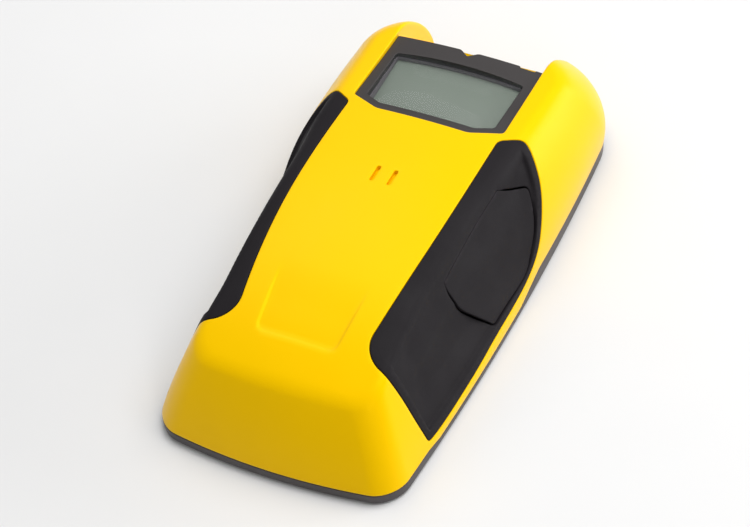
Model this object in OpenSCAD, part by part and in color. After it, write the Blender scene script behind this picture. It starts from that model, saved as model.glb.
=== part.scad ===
// Stud finder: a hand-held wall sensor with a display window, rubber side grips,
// a side button and a battery bay that opens on the underside.
// Millimetres. X is the width, +Y points to the display end, +Z is up,
// and Z = 0 is the flat sensing face that slides on the wall.

/* [Body] */
// Overall length, foot end to display end
body_len = 160; // [159:0.5:161]
// Greatest width of the sensing face
body_w = 79.8; // [79.4:0.1:80.4]
// Height of the top face at mid length
body_h = 38.4; // [38.2:0.1:39]
// Wall thickness of the moulded covers
wall = 2.2; // [1.8:0.1:2.4]
// Width of the flat top between its side edges
rim_w = 57.2; // [56.6:0.2:58]
// How far the side walls bulge out at the display end
bulge_head = 5.2; // [4.6:0.2:5.8]
// How far the side walls bulge out at the foot end
bulge_foot = 0.9; // [0.4:0.1:1.4]
// Rounding between the top face and the walls
edge_round = 3; // [2:0.5:4]

/* [Grips] */
// Thickness of the rubber grips
grip_t = 1.8; // [1.4:0.1:2]
// Depth of the finger scoops
scoop_depth = 2.6; // [2:0.1:2.8]
// Gap between neighbouring mouldings
seam = 0.12; // [0.1:0.01:0.2]

/* [Button] */
// Thickness of the button flap
button_t = 2; // [1.8:0.1:2.2]
// Gap around the button flap
button_gap = 0.5; // [0.45:0.05:0.6]
// Share of the scoop depth that the flap follows
button_follow = 0.55; // [0.4:0.05:0.7]

/* [Display] */
// Half width of the viewing window
window_half_w = 19.8; // [19.4:0.1:20]
// Depth of the bezel below the covers' top face
bezel_drop = 0.7; // [0.5:0.1:0.8]
// Thickness of the bezel plate
bezel_t = 1.6; // [1.4:0.1:1.7]
// Depth of the marking notch
notch_depth = 1.9; // [1.6:0.1:2.2]

/* [Battery] */
// Length of the battery's case
battery_len = 46.4; // [46:0.1:46.6]
// Width of the battery
battery_w = 26.5; // [26:0.1:26.6]
// Thickness of the battery
battery_t = 17.5; // [17:0.1:17.6]
// Thickness of the battery door
door_t = 1.7; // [1.6:0.1:1.8]

/* [Hidden] */

yellow = "#ffd21a";
dark = "#443f40";
rubber = "#38353b";

half_w = body_w / 2;
half_len = body_len / 2;

// Outlines: corner radii, the taper of the long sides and the bow of the ends
foot_r = 8;
head_r = 17;
side_taper = 0.085;
foot_bow = 0.043;
head_bow = 0.063;
rim_foot_y = 11.6 - half_len;
rim_head_y = half_len - 16.5;
rim_foot_r = 7;
rim_head_r = 9;
rim_bow = 0.03;
rim_taper = 0.05;
rim_taper_span = 70;
swell_foot_y = -40;
swell_run = 90;

// Height of the cutting prisms, which pass right through the body
through = 60;

// Points along a long side, an end and a corner of an outline
side_n = 18;
end_n = 8;
corner_n = 6;

// The top face in side view is a cubic in y / top_span, with a crown across
top_span = 75;
top_slope = -1.4;
top_arch = -9.3;
top_turn = 6.9;
top_crown = 1.2;
crown_span = 24;
wall_foot_z = 3.6;
wall_rise = 33;
// Distance in from the top edge to the grid of the flat top
grid_in = 6.5;

// Where the finger scoop and the shoulder above it begin and fade
scoop_foot_y = -55.5;
scoop_foot_z = 6.5;
scoop_fade = 5;
shoulder_foot_y = -56;
shoulder_foot_fade = 12;
shoulder_head_y = 18;
shoulder_head_fade = 18;
shoulder_sag = 0.6;
// Share of the wall's height above which the shoulder starts
shoulder_from = 0.85;

// Underside layout
floor_t = 2;
rim_z = 5;
bay_half_w = 15;
bay_foot_y = -66;
bay_head_y = -9.5;
bay_top_z = 21;
bay_wall = 1.4;
door_gap = 0.3;
hinge_y = -10.9;
hinge_z = 1.5;
knuckle_r = 1.4;
pin_r = 1;
pin_fit = 0.05;
battery_foot_y = -62.6;
battery_z = 2.6;
terminal_h = 2.1;
snap_t = 3.2;
// Bearing ears beside the door's hinge and the dish for a fingertip at its latch
ear_w = 3.4;
ear_len = 5;
dish_r = 6;
dish_depth = 1.1;
knuckle_x = 12.7;
knuckle_w = 4;
latch_w = 10;
latch_h = 7;
rib_pitch = 2.4;
door_z = 0.1;

// Boards, screws and posts
sensor_z = 3.6;
board_t = 1.6;
sensor_top = sensor_z + board_t;
sensor_board_size = [50, 76];
sensor_board_foot_y = -5;
main_z = 22.4;
main_top = main_z + board_t;
main_board_size = [42, 62.5];
main_board_foot_y = -7.5;
base_post_r = 4.2;
base_post_h = 3.7;
counterbore_r = 3;
counterbore_h = 2;
clearance_r = 1.7;
sensor_post_r = 2.2;
label_w = 36;
label_len = 24;
label_foot_y = 10;
label_sunk = 0.3;
label_t = 0.2;

// Parts on the boards
row_y = 22;
chip_h = 1.4;
buzzer_y = 1;
buzzer_r = 6;
buzzer_h = 8.4;
plate_w = 35;
plate_len = 11;
plate_t = 0.3;
plate_pitch = 16;
link_y = 36;
link_h = 8.6;
pin_pitch = 2.54;
pin_w = 0.64;
plunger_r = 1.72;
plunger_back_x = 19.4;
case_screw_at = [[24, -62], [-24, -62], [31, 60], [-31, 60]];
main_screw_at = [[-17, -4], [12, -4], [-18, 20], [18, 20]];
sensor_screw_at = [[-21, -1], [21, -1], [-21, 66], [21, 66]];

// Side switch
switch_y = -4;
switch_z = main_top + 3;
switch_back_x = 17.4;
switch_front_x = 21;
plunger_end_x = 23;

// Liquid-crystal display stack
lcd_half_w = 21.2;
lcd_foot_y = 26.8;
lcd_head_y = 52.4;
lcd_z = 28.8;
lcd_t = 2.1;
skirt_z = lcd_z + lcd_t + 0.2;
lens_t = 1.2;
lens_gap = 0.15;
lens_foot_y = 28;
lens_foot_z = 34.9;
lens_tilt = -3.6;

// Front cover: grip pockets, sound slots, foot panel and screw posts
skin = 0.4;
pocket_rim = 1.2;
pocket_t = 1.6;
slot_x = 2.6;
slot_y = 0.8;
slot_w = 1.2;
slot_len = 5.8;
panel_foot_y = -56;
panel_len = 24;
panel_foot_w = 24;
panel_head_w = 27.2;
panel_depth = 0.35;
case_boss_r = 3.1;
case_boss_z = 4.5;
case_hole_r = 1.5;
case_hole_top = 14;
main_boss_r = 2.4;
main_hole_r = 1;
main_hole_top = 31;

// Side view of the grip and of the button flap, as [y, z]
grip_side = [
    [31, 42], [29.6, 34.7], [28.2, 32.2], [23.2, 24.8], [18, 18.7], [11.7, 11.2], [4.2, 7.5], [-6, 6.4],
    [-17, 6.1], [-56.9, 5], [-57.4, 14], [-56.9, 30], [-56.9, 42]
];
// Top view of the grip, as [x, y]
grip_top = [
    [48, 40.5], [29.5, 29.5], [23.1, 25.7], [23.4, 6.7], [22.9, -13.6], [21.6, -31.8], [20, -46],
    [19.5, -49.6], [20.7, -53], [23.5, -55.9], [27, -57.6], [48, -58]
];
button_side = [
    [10.4, 33.7], [14.6, 30.6], [19.7, 27.2], [18, 24.2], [15.2, 20], [11.5, 15.9], [5, 11.2], [-2, 10.2],
    [-16.2, 9.9], [-20.1, 16.7], [-23, 22], [-23.6, 27], [-23.2, 31.05]
];
// Inner border of the scoop at its head end, as [z, y]
scoop_head = [[6, -2], [9.3, -1], [12, 8], [15.6, 11.8], [19.5, 15.2], [24.3, 18.3], [27.3, 20], [33.8, 23.5]];
// Height of the joint line between the covers along the sides, as [y, z]
parting = [[-95, 3.4], [-58, 3.4], [-52, 2.2], [-2, 2.2], [11, rim_z], [95, rim_z]];
// Top view of the bezel, as [x, y], right half from the foot side to the display end
bezel_head_y = 57.3;
bezel_half = [[14.1, 25.3], [23.1, 29.1], [22.8, bezel_head_y]];
notch_half_w = 2.8;
edge_slot_x = [15.7, 20.4];
edge_slot_depth = 0.5;
skirt_wall = 1.2;
// Window outline: half width and Y of the foot side, Y of the cut corners, Y and bow of the head side
window_foot_half_w = 14.6;
window_foot_y = 28;
window_corner_y = 30.4;
window_head_y = 51.1;
window_bow = 1.3;
// Hollow of the display end between the two horns
horn_x = 22.95;
channel_y = 57.4;
channel_z = 33.3;
channel_run = 0.77;
// Extra depth along Y of a wall of the leaning face, for its thickness
channel_lean = 1.3;

// Battery leads, as [y, z] at a constant x
lead_r = 0.7;
lead_x = 4;
lead_path = [[-10.9, 15], [-9.5, 15], [-7.5, 15.3], [-5, 16.2], [-3, 17.6], [-1.6, 19.4], [-1, 21], [-1, 22.4]];

// ---------- curves ----------

function smooth(t) = let(c = min(1, max(0, t))) c * c * (3 - 2 * c);

function warp(p, w, h, taper, foot, head) = [
    p[0] * (1 - taper * pow(p[1] / h, 2)),
    p[1] * (1 - (p[1] < 0 ? foot : head) * pow(p[0] / w, 2))
];

function along(a, b, n) = [for (k = [0 : n - 1]) a + (b - a) * k / n];

function arc(cx, cy, r, from, n) = [
    for (k = [0 : n - 1]) [cx + r * cos(from + 90 * k / n), cy + r * sin(from + 90 * k / n)]
];

// Rounded rectangle with tapered sides and bowed ends, counter-clockwise
function outline(w, foot_y, head_y, rf, rh, taper, foot, head) =
    let(
        c = (foot_y + head_y) / 2,
        h = (head_y - foot_y) / 2,
        p = concat(
            along([w, rf - h], [w, h - rh], side_n), arc(w - rh, h - rh, rh, 0, corner_n),
            along([w - rh, h], [rh - w, h], end_n), arc(rh - w, h - rh, rh, 90, corner_n),
            along([-w, h - rh], [-w, rf - h], side_n), arc(rf - w, rf - h, rf, 180, corner_n),
            along([rf - w, -h], [w - rf, -h], end_n), arc(w - rf, rf - h, rf, 270, corner_n)
        )
    )
    [for (q = p) warp(q, w, h, taper, foot, head) + [0, c]];

function base_line(inset = 0) = outline(
    half_w - inset, inset - half_len, half_len - inset, foot_r - inset / 2, head_r - inset / 2,
    side_taper, foot_bow, head_bow
);

base = base_line();
rim = [
    for (p = outline(rim_w / 2, rim_foot_y, rim_head_y, rim_foot_r, rim_head_r, 0, rim_bow, rim_bow))
        [p[0] * (1 + rim_taper * p[1] / rim_taper_span), p[1]]
];
ring_n = len(base);
// Outward direction of each point of the wall, and its bulge
out = [for (i = [0 : ring_n - 1]) (base[i] - rim[i]) / norm(base[i] - rim[i])];
swell = [for (p = base) bulge_foot + (bulge_head - bulge_foot) * smooth((p[1] - swell_foot_y) / swell_run)];

function top_z(x, y) =
    let(s = y / top_span)
    body_h + top_slope * s + top_arch * s * s + top_turn * s * s * s - top_crown * pow(x / crown_span, 2);

// Depth of the finger scoop on the side wall
function scoop(y, z) = scoop_depth * smooth((y - scoop_foot_y) / scoop_fade)
    * smooth((z - scoop_foot_z) / scoop_fade) * smooth((lookup(z, scoop_head) - y) / scoop_fade);

// Depth of the worn-in shoulder above the scoop
function shoulder(y) = scoop_depth * smooth((y - shoulder_foot_y) / shoulder_foot_fade)
    * smooth((shoulder_head_y - y) / shoulder_head_fade);

// 1 on the long sides and 0 on the ends
function on_side(i) = abs(out[i][0]) > 0.5 ? 1 : 0;

// A point of the wall: i round the body, t from its foot to the top edge
function wall_pt(i, t, inset, drop, dent) =
    let(
        z = wall_foot_z + (top_z(rim[i][0], rim[i][1]) - drop - wall_foot_z) * t,
        mid = base[i] + (rim[i] - base[i]) * t,
        deep = on_side(i) * dent * max(scoop(mid[1], z), t > shoulder_from ? shoulder(mid[1]) : 0),
        p = mid + out[i] * (swell[i] * 4 * t * (1 - t) - inset - deep)
    )
    [p[0], p[1], z];

// A point of the top face, at a distance in from the top edge
function top_pt(i, in_from_edge, drop, dent) =
    let(
        p = rim[i] - out[i] * in_from_edge,
        sag = on_side(i) * dent * shoulder(p[1]) * max(0, 1 - in_from_edge / grid_in) * shoulder_sag
    )
    [p[0], p[1], top_z(p[0], p[1]) - drop - sag];

function bezier(a, b, c, t) = a * (1 - t) * (1 - t) + b * 2 * t * (1 - t) + c * t * t;

// Rings of points of the whole body form, moved in by inset and down by drop
function form_rings(inset, drop, dent, round, steps) =
    let(
        all = [0 : ring_n - 1],
        t_edge = 1 - round / wall_rise,
        low = [for (i = all) let(p = base[i] - out[i] * inset) [p[0], p[1], inset > 0 ? -1 : 0]],
        walls = [for (k = [0 : steps]) [for (i = all) wall_pt(i, t_edge * k / steps, inset, drop, dent)]],
        tops = [for (i = all) top_pt(i, inset + round, drop, dent)],
        turn = [for (t = [0.33, 0.67])
            [for (i = all) bezier(walls[steps][i], wall_pt(i, 1, inset, drop, dent), tops[i], t)]],
        tops_in = [for (i = all) top_pt(i, inset + grid_in, drop, dent)]
    )
    concat([low], walls, round > 0 ? concat(turn, [tops]) : [], [tops_in]);

// The flat top is a grid of rows and columns that fills the last ring
rows = side_n + corner_n;
cols = end_n + corner_n;
first = ring_n - corner_n / 2;
function ring_at(i) = (first + i + ring_n) % ring_n;
function right_i(r) = ring_at(r);
function head_i(c) = ring_at(rows + cols - c);
function left_i(r) = ring_at(rows + cols + rows - r);
function foot_i(c) = ring_at(2 * rows + cols + c);

// A grid point of the top, blended between the four sides of the ring
function grid_pt(ring, r, c, drop) =
    let(
        v = r / rows, u = c / cols,
        p = ring[left_i(r)] * (1 - u) + ring[right_i(r)] * u,
        q = ring[foot_i(c)] * (1 - v) + ring[head_i(c)] * v,
        k = (ring[left_i(0)] * (1 - u) + ring[right_i(0)] * u) * (1 - v)
            + (ring[left_i(rows)] * (1 - u) + ring[right_i(rows)] * u) * v,
        xy = p + q - k
    )
    [xy[0], xy[1], top_z(xy[0], xy[1]) - drop];

// Index of a grid point, on the last ring or inside it
function grid_i(r, c, last) =
    c == cols ? last * ring_n + right_i(r)
    : c == 0 ? last * ring_n + left_i(r)
    : r == 0 ? last * ring_n + foot_i(c)
    : r == rows ? last * ring_n + head_i(c)
    : (last + 1) * ring_n + (r - 1) * (cols - 1) + c - 1;

module body_form(inset = 0, drop = 0, dent = 0, round = edge_round, steps = 8) {
    rings = form_rings(inset, drop, dent, round, steps);
    last = len(rings) - 1;
    polyhedron(
        points = concat(
            [for (r = rings) each r],
            [for (r = [1 : rows - 1]) for (c = [1 : cols - 1]) grid_pt(rings[last], r, c, drop)]
        ),
        faces = concat(
            [[for (i = [0 : ring_n - 1]) i]],
            [for (k = [0 : last - 1]) for (i = [0 : ring_n - 1])
                let(a = k * ring_n + i, b = k * ring_n + (i + 1) % ring_n)
                each [[a, a + ring_n, b], [b, a + ring_n, b + ring_n]]],
            [for (r = [0 : rows - 1]) for (c = [0 : cols - 1])
                let(
                    a = grid_i(r, c, last), b = grid_i(r, c + 1, last),
                    d = grid_i(r + 1, c, last), e = grid_i(r + 1, c + 1, last)
                )
                each [[a, d, b], [b, d, e]]]
        )
    );
}

// ---------- cutting shapes ----------

// Prism along X from a side view
module side_prism(points, grow = 0, round = 0) {
    rotate([90, 0, 90]) linear_extrude(through)
        offset(delta = grow) offset(r = round) offset(delta = -round) polygon(points);
}

// Prism along Z from a top view
module top_prism(points, grow = 0, round = 0) {
    linear_extrude(through) offset(delta = grow) offset(r = round) offset(delta = -round) polygon(points);
}

module grip_zone(grow = 0) {
    intersection() {
        side_prism(grip_side, grow, 1);
        top_prism(grip_top, grow, 1);
    }
}

module button_zone(grow = 0) {
    side_prism(button_side, grow, 0.6);
}

module both_sides() {
    children();
    mirror([1, 0, 0]) children();
}

// Everything above the joint line between the covers, with a gap
module above_parting(gap = 0) {
    translate([-through, 0, gap]) rotate([90, 0, 90]) linear_extrude(2 * through)
        polygon(concat(parting, [[95, through], [-95, through]]));
}

// The space in front of the display end, between the horns
module channel(back = 0) {
    y = channel_y - back * channel_lean;
    translate([-horn_x - back, 0, 0]) rotate([90, 0, 90]) linear_extrude(2 * (horn_x + back))
        polygon([
            [y, through], [y, channel_z], [y + channel_z * channel_run, 0], [110, 0], [110, through]
        ]);
}

function bezel_right() = concat(
    bezel_half,
    let(y = bezel_head_y, slot_y = y - edge_slot_depth)
    [[edge_slot_x[1], y], [edge_slot_x[1], slot_y], [edge_slot_x[0], slot_y], [edge_slot_x[0], y]],
    [[notch_half_w, bezel_head_y], [0, bezel_head_y - notch_depth]]
);
function bezel_left() = [for (i = [2 : -1 : 0]) [-bezel_half[i][0], bezel_half[i][1]]];
function bezel_points() = concat(bezel_right(), [[-notch_half_w, bezel_head_y]], bezel_left());

// Viewing window: cut corners at its foot side and a bowed edge at the display end
function window_points(g = 0) =
    let(w = window_half_w - g)
    concat(
        [[window_foot_half_w, window_foot_y + g], [w, window_corner_y + g]],
        [for (k = [0 : 8]) let(x = w * (1 - k / 4)) [x, window_head_y - g - window_bow * pow(x / w, 2)]],
        [[-w, window_corner_y + g], [-window_foot_half_w, window_foot_y + g]]
    );

// ---------- covers ----------

module front_cover() color(yellow) resize([0, 0, 0]) difference() {
    union() {
        difference() {
            body_form();
            difference() {
                body_form(inset = wall, drop = wall, round = 0, steps = 5);
                channel(back = wall);
            }
            channel();
        }
        both_sides() intersection() {
            grip_zone(grow = pocket_rim);
            difference() {
                body_form(inset = skin, drop = skin, round = 0, steps = 6);
                body_form(inset = grip_t + pocket_t, drop = grip_t + pocket_t, dent = 1, round = 0, steps = 7);
            }
        }
        cover_bosses();
    }
    both_sides() difference() {
        grip_zone(grow = seam);
        body_form(inset = grip_t + seam, drop = grip_t + seam, dent = 1, steps = 8);
    }
    button_zone(grow = button_gap);
    translate([0, 0, 20]) top_prism(bezel_points(), grow = seam);
    for (s = [-1, 1]) sound_slot(s * slot_x);
    foot_recess();
    for (p = case_screw_at) translate([p[0], p[1], 0]) cylinder(r = case_hole_r, h = case_hole_top, $fn = 16);
    for (p = main_screw_at) translate([p[0], p[1], 0]) cylinder(r = main_hole_r, h = main_hole_top, $fn = 16);
    difference() {
        translate([-60, -100, -2]) cube([120, 200, 9]);
        above_parting(gap = seam);
    }
}

// Posts inside the front cover for the case screws and the main board's screws
module cover_bosses() intersection() {
    body_form(inset = 2 * skin, drop = 2 * skin, round = 0, steps = 5);
    union() {
        for (p = case_screw_at) translate([p[0], p[1], case_boss_z]) cylinder(r = case_boss_r, h = 40, $fn = 20);
        for (p = main_screw_at) translate([p[0], p[1], main_top + 0.1]) cylinder(r = main_boss_r, h = 30, $fn = 20);
    }
}

module sound_slot(x) translate([x, slot_y, 30]) linear_extrude(20) square([slot_w, slot_len], center = true);

// Shallow panel on the top face that runs out towards mid length
module foot_recess() difference() {
    translate([0, panel_foot_y, 0]) linear_extrude(through) offset(r = 2) offset(delta = -2) polygon([
        [-panel_foot_w / 2, 0], [panel_foot_w / 2, 0], [panel_head_w / 2, panel_len],
        [-panel_head_w / 2, panel_len]
    ]);
    body_form(drop = panel_depth, steps = 4);
    translate([-20, panel_foot_y + panel_len / 2, 0]) cube([40, panel_len, through]);
}

module back_cover() color(dark) difference() {
    union() {
        difference() {
            linear_extrude(rim_z) polygon(base);
            translate([0, 0, floor_t]) linear_extrude(rim_z) polygon(base_line(inset = wall));
            above_parting();
        }
        difference() {
            translate([-bay_half_w - bay_wall, bay_foot_y - bay_wall, 0.5])
                cube([2 * (bay_half_w + bay_wall), bay_head_y - bay_foot_y + 2 * bay_wall, bay_top_z + 0.9]);
            translate([-bay_half_w, bay_foot_y, 0])
                cube([2 * bay_half_w, bay_head_y - bay_foot_y, bay_top_z]);
            translate([-lead_x - 2, bay_head_y - 1, lead_path[0][1] - 2.5]) cube([2 * lead_x + 4, 4, 12]);
        }
        for (s = [-1, 1]) translate([s * (bay_half_w + ear_w / 2) - ear_w / 2, hinge_y - ear_len / 2, 0.5])
            cube([ear_w, ear_len, base_post_h]);
        for (p = case_screw_at) translate([p[0], p[1], 0.5]) cylinder(r = base_post_r, h = base_post_h, $fn = 48);
        for (p = sensor_screw_at) translate([p[0], p[1], 1]) cylinder(r = sensor_post_r, h = sensor_z - 1, $fn = 48);
    }
    translate([-bay_half_w, bay_foot_y, -1])
        cube([2 * bay_half_w, hinge_y + knuckle_r + door_gap - bay_foot_y, floor_t + 2]);
    translate([-bay_half_w - 2.3, hinge_y, hinge_z]) rotate([0, 90, 0])
        cylinder(r = pin_r + pin_fit, h = 2 * bay_half_w + 4.6, $fn = 48);
    translate([0, bay_foot_y - 1.5, -1]) cylinder(r = dish_r, h = dish_depth + 1, $fn = 48);
    for (p = case_screw_at) translate([p[0], p[1], -1]) {
        cylinder(r = clearance_r, h = 8, $fn = 48);
        cylinder(r = counterbore_r, h = counterbore_h + 1, $fn = 48);
    }
    for (p = sensor_screw_at) translate([p[0], p[1], 1]) cylinder(r = 0.9, h = 8, $fn = 48);
    translate([-label_w / 2, label_foot_y, -1]) cube([label_w, label_len, label_sunk + 1]);
}

module battery_door() color(dark) difference() {
    union() {
        translate([-bay_half_w + door_gap, bay_foot_y + door_gap, door_z])
            cube([2 * (bay_half_w - door_gap), hinge_y - bay_foot_y - door_gap, door_t]);
        for (s = [-1, 1]) translate([s * knuckle_x - knuckle_w / 2, hinge_y, hinge_z]) rotate([0, 90, 0])
            cylinder(r = knuckle_r, h = knuckle_w, $fn = 48);
        for (s = [-1, 1]) translate([s * bay_half_w - knuckle_w / 2, hinge_y, hinge_z]) rotate([0, 90, 0])
            cylinder(r = pin_r, h = knuckle_w, $fn = 48);
        translate([-latch_w / 2, bay_foot_y + 0.4, door_z]) cube([latch_w, 0.9, latch_h]);
    }
    for (k = [0 : 3]) translate([-6, bay_foot_y + 5 + rib_pitch * k, -0.5]) cube([12, 1.1, 1]);
}

// ---------- grips and button ----------

module grip() intersection() {
    grip_zone();
    difference() {
        body_form(dent = 1, steps = 9);
        body_form(inset = grip_t, drop = grip_t, dent = 1, steps = 8);
    }
}

module left_grip() color(rubber) resize([0, 0, 0]) mirror([1, 0, 0]) grip();

module right_grip() color(rubber) resize([0, 0, 0]) difference() {
    grip();
    button_zone(grow = button_gap);
}

module scan_button() color(rubber) resize([0, 0, 0]) intersection() {
    button_zone();
    union() {
        difference() {
            body_form(inset = 0.05, dent = button_follow, steps = 9);
            body_form(inset = button_t, drop = button_t, dent = button_follow, round = 0, steps = 7);
        }
        intersection() {
            body_form(inset = 0.5, dent = button_follow, round = 0, steps = 7);
            translate([plunger_end_x + 0.05, switch_y - 2, switch_z - 1.5]) cube([14, 4, 3]);
        }
    }
}

// ---------- display ----------

module display_bezel() color(dark) resize([0, 0, 0]) difference() {
    intersection() {
        body_form(drop = bezel_drop, round = 0, steps = 4);
        union() {
            difference() {
                top_prism(bezel_points());
                body_form(drop = bezel_drop + bezel_t, round = 0, steps = 4);
            }
            translate([0, 0, skirt_z]) top_prism(window_points(), grow = skirt_wall);
        }
    }
    top_prism(window_points());
}

module display_window() color("#a9b0ab", 0.4)
    translate([0, lens_foot_y, lens_foot_z - lens_t]) rotate([lens_tilt, 0, 0])
        translate([0, -lens_foot_y, 0]) linear_extrude(lens_t) polygon(window_points(lens_gap));

module lcd_frame() color("#2b2b2e") difference() {
    translate([-lcd_half_w - 1.4, lcd_foot_y - 1.2, main_top])
        cube([2 * lcd_half_w + 2.8, lcd_head_y - lcd_foot_y + 2.6, 7.2]);
    translate([-lcd_half_w - 0.1, lcd_foot_y - 0.1, main_top - 1])
        cube([2 * lcd_half_w + 0.2, lcd_head_y - lcd_foot_y + 0.2, 12]);
}

module lcd_glass() color("#8b968c") translate([-lcd_half_w, lcd_foot_y, lcd_z]) {
    cube([2 * lcd_half_w, lcd_head_y - lcd_foot_y, lcd_t / 2]);
    translate([0, 1.2, 0]) cube([2 * lcd_half_w, lcd_head_y - lcd_foot_y - 2.4, lcd_t]);
}

module lcd_reflector() color("#c9cfc9") translate([-20.8, lcd_foot_y + 2.8, lcd_z - 0.2])
    cube([41.6, lcd_head_y - lcd_foot_y - 5.6, 0.2]);

module contact_strips() color("#4b4b50") for (y = [lcd_foot_y + 0.4, lcd_head_y - 2.4])
    translate([-20, y, main_top]) cube([40, 2, lcd_z - main_top]);

// ---------- electronics ----------

module main_board() color("#1f6b3a") difference() {
    translate([-main_board_size[0] / 2, main_board_foot_y, main_z]) cube([each main_board_size, board_t]);
    for (p = main_screw_at) translate([p[0], p[1], main_z - 1]) cylinder(r = 1.3, h = 4, $fn = 48);
}

// Flat package with a row of legs along two sides
module chip(w, l, h, legs, pitch) {
    translate([-w / 2, -l / 2, 0.15]) cube([w, l, h]);
    for (k = [0 : legs - 1]) translate([-w / 2 - 0.8, (k - (legs - 1) / 2) * pitch - 0.2, 0])
        cube([w + 1.6, 0.4, 0.3]);
}

module controller_chip() color("#202124") translate([0, 14.5, main_top]) union() {
    chip(9, 9, chip_h, 8, 1);
    rotate(90) chip(9, 9, chip_h, 8, 1);
}

module crystal() color("#c8ccd0") translate([12, 13, main_top]) {
    translate([-1.8, -3.2, 0]) cube([3.6, 6.4, 3.4]);
    for (y = [-3.2, 3.2]) translate([0, y, 0]) cylinder(r = 1.8, h = 3.4, $fn = 32);
}

module capacitors() color("#30343c") {
    for (y = [4, 12]) translate([-12, y, main_top]) cylinder(d = 5, h = 6.5, $fn = 40);
    for (k = [0 : 3]) translate([-14 + 3.4 * k, row_y, main_top]) cube([2, 1.25, 1.1]);
}

module resistors() color("#26262a") for (k = [0 : 5])
    translate([0.5 + 2.6 * k, row_y, main_top]) cube([1.25, 2, 0.5]);

module switch_body() color("#2c2c30") difference() {
    translate([switch_back_x, switch_y - 3, main_top]) cube([switch_front_x - switch_back_x, 6, 6]);
    translate([plunger_back_x - 0.3, switch_y, switch_z]) rotate([0, 90, 0])
        cylinder(r = plunger_r + 0.08, h = 4, $fn = 48);
}

module switch_plunger() color("#d9d9d6") translate([plunger_back_x, switch_y, switch_z])
    rotate([0, 90, 0]) cylinder(r = plunger_r, h = plunger_end_x - plunger_back_x, $fn = 48);

module buzzer_case() color("#1d1d20") translate([0, buzzer_y, main_top]) difference() {
    cylinder(r = buzzer_r, h = buzzer_h, $fn = 64);
    translate([0, 0, 1]) cylinder(r = buzzer_r - 0.8, h = buzzer_h - 1.8, $fn = 64);
    cylinder(r = 1.1, h = 12, $fn = 32);
}

module buzzer_diaphragm() color("#c9a23a") translate([0, buzzer_y, main_top + 5])
    cylinder(r = buzzer_r - 0.9, h = 0.3, $fn = 64);

module sensor_board() color("#1f6b3a") difference() {
    translate([-sensor_board_size[0] / 2, sensor_board_foot_y, sensor_z]) cube([each sensor_board_size, board_t]);
    for (p = sensor_screw_at) translate([p[0], p[1], sensor_z - 1]) cylinder(r = 1.2, h = 4, $fn = 48);
}

// Copper electrodes that sense through the floor of the back cover
module sensor_plates() color("#c97b45") for (k = [0 : 3])
    translate([-plate_w / 2, 6 + plate_pitch * k, sensor_z - plate_t]) cube([plate_w, plate_len, plate_t]);

module sensor_chip() color("#202124") translate([-10, 20, sensor_top]) chip(4, 9.9, chip_h, 7, 1.27);

module link_housing() color("#1b1b1e") translate([-8, link_y, sensor_top]) cube([16, 2.6, link_h]);

module link_pins() color("#d3ad4a") for (k = [0 : 5])
    translate([pin_pitch * (k - 2.5) - pin_w / 2, link_y + 1, sensor_top + link_h])
        cube([pin_w, pin_w, main_z - sensor_top - link_h]);

// ---------- battery ----------

module battery_case() color("#3c4148") translate([-battery_w / 2, battery_foot_y, battery_z])
    cube([battery_w, battery_len, battery_t]);

module battery_terminals() color("#c8ccd0")
    translate([0, battery_foot_y + battery_len, battery_z + battery_t / 2]) rotate([-90, 0, 0]) {
        translate([6.35, 0, 0]) cylinder(r = 2.8, h = terminal_h, $fn = 48);
        translate([-6.35, 0, 0]) cylinder(r = 4, h = terminal_h, $fn = 6);
    }

module battery_snap() color("#17171a")
    translate([-12.5, battery_foot_y + battery_len + terminal_h, 5]) cube([25, snap_t, 12.6]);

// Round lead in a plane of constant x, swept along its path
module lead() {
    sides = 8;
    last = len(lead_path) - 1;
    rings = [for (k = [0 : last])
        let(
            a = lead_path[max(0, k - 1)],
            b = lead_path[min(last, k + 1)],
            d = k == 0 ? [1, 0] : k == last ? [0, 1] : (b - a) / norm(b - a)
        )
        [for (j = [0 : sides - 1])
            let(u = lead_r * cos(360 * j / sides), v = lead_r * sin(360 * j / sides))
            [u, lead_path[k][0] - v * d[1], lead_path[k][1] + v * d[0]]]];
    polyhedron(
        points = [for (r = rings) each r],
        faces = concat(
            [[for (j = [0 : sides - 1]) j]],
            [for (k = [0 : last - 1]) for (j = [0 : sides - 1])
                let(a = k * sides + j, b = k * sides + (j + 1) % sides)
                [a, a + sides, b + sides, b]],
            [[for (j = [sides - 1 : -1 : 0]) last * sides + j]]
        )
    );
}

module red_lead() color("#c02222") translate([lead_x, 0, 0]) lead();

module black_lead() color("#151517") translate([-lead_x, 0, 0]) lead();

module battery_pad() color("#55585c") translate([-12, battery_foot_y - 2, 8]) cube([24, 2, 11]);

module rating_label() color("#d8d9da") translate([0.5 - label_w / 2, label_foot_y + 0.5, 0.1])
    cube([label_w - 1, label_len - 1, label_t]);

// ---------- fasteners ----------

module screw(head_r, head_h, shank_r, shank_l) {
    difference() {
        cylinder(r = head_r, h = head_h, $fn = 48);
        for (a = [0, 90]) rotate(a) translate([-head_r * 0.6, -0.3, -1]) cube([head_r * 1.2, 0.6, 1 + head_h / 2]);
    }
    translate([0, 0, head_h]) cylinder(r = shank_r, h = shank_l, $fn = 48);
}

module case_screws() color("#b9bcc0") for (p = case_screw_at)
    translate([p[0], p[1], 0.4]) screw(2.7, 1.6, 1.4, 9);

module main_board_screws() color("#b9bcc0") for (p = main_screw_at)
    translate([p[0], p[1], main_z - 1.4]) screw(2, 1.4, 0.9, 7);

module sensor_board_screws() color("#b9bcc0") for (p = sensor_screw_at)
    translate([p[0], p[1], sensor_top + 1.2]) mirror([0, 0, 1]) screw(1.9, 1.2, 0.8, 3.4);

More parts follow.
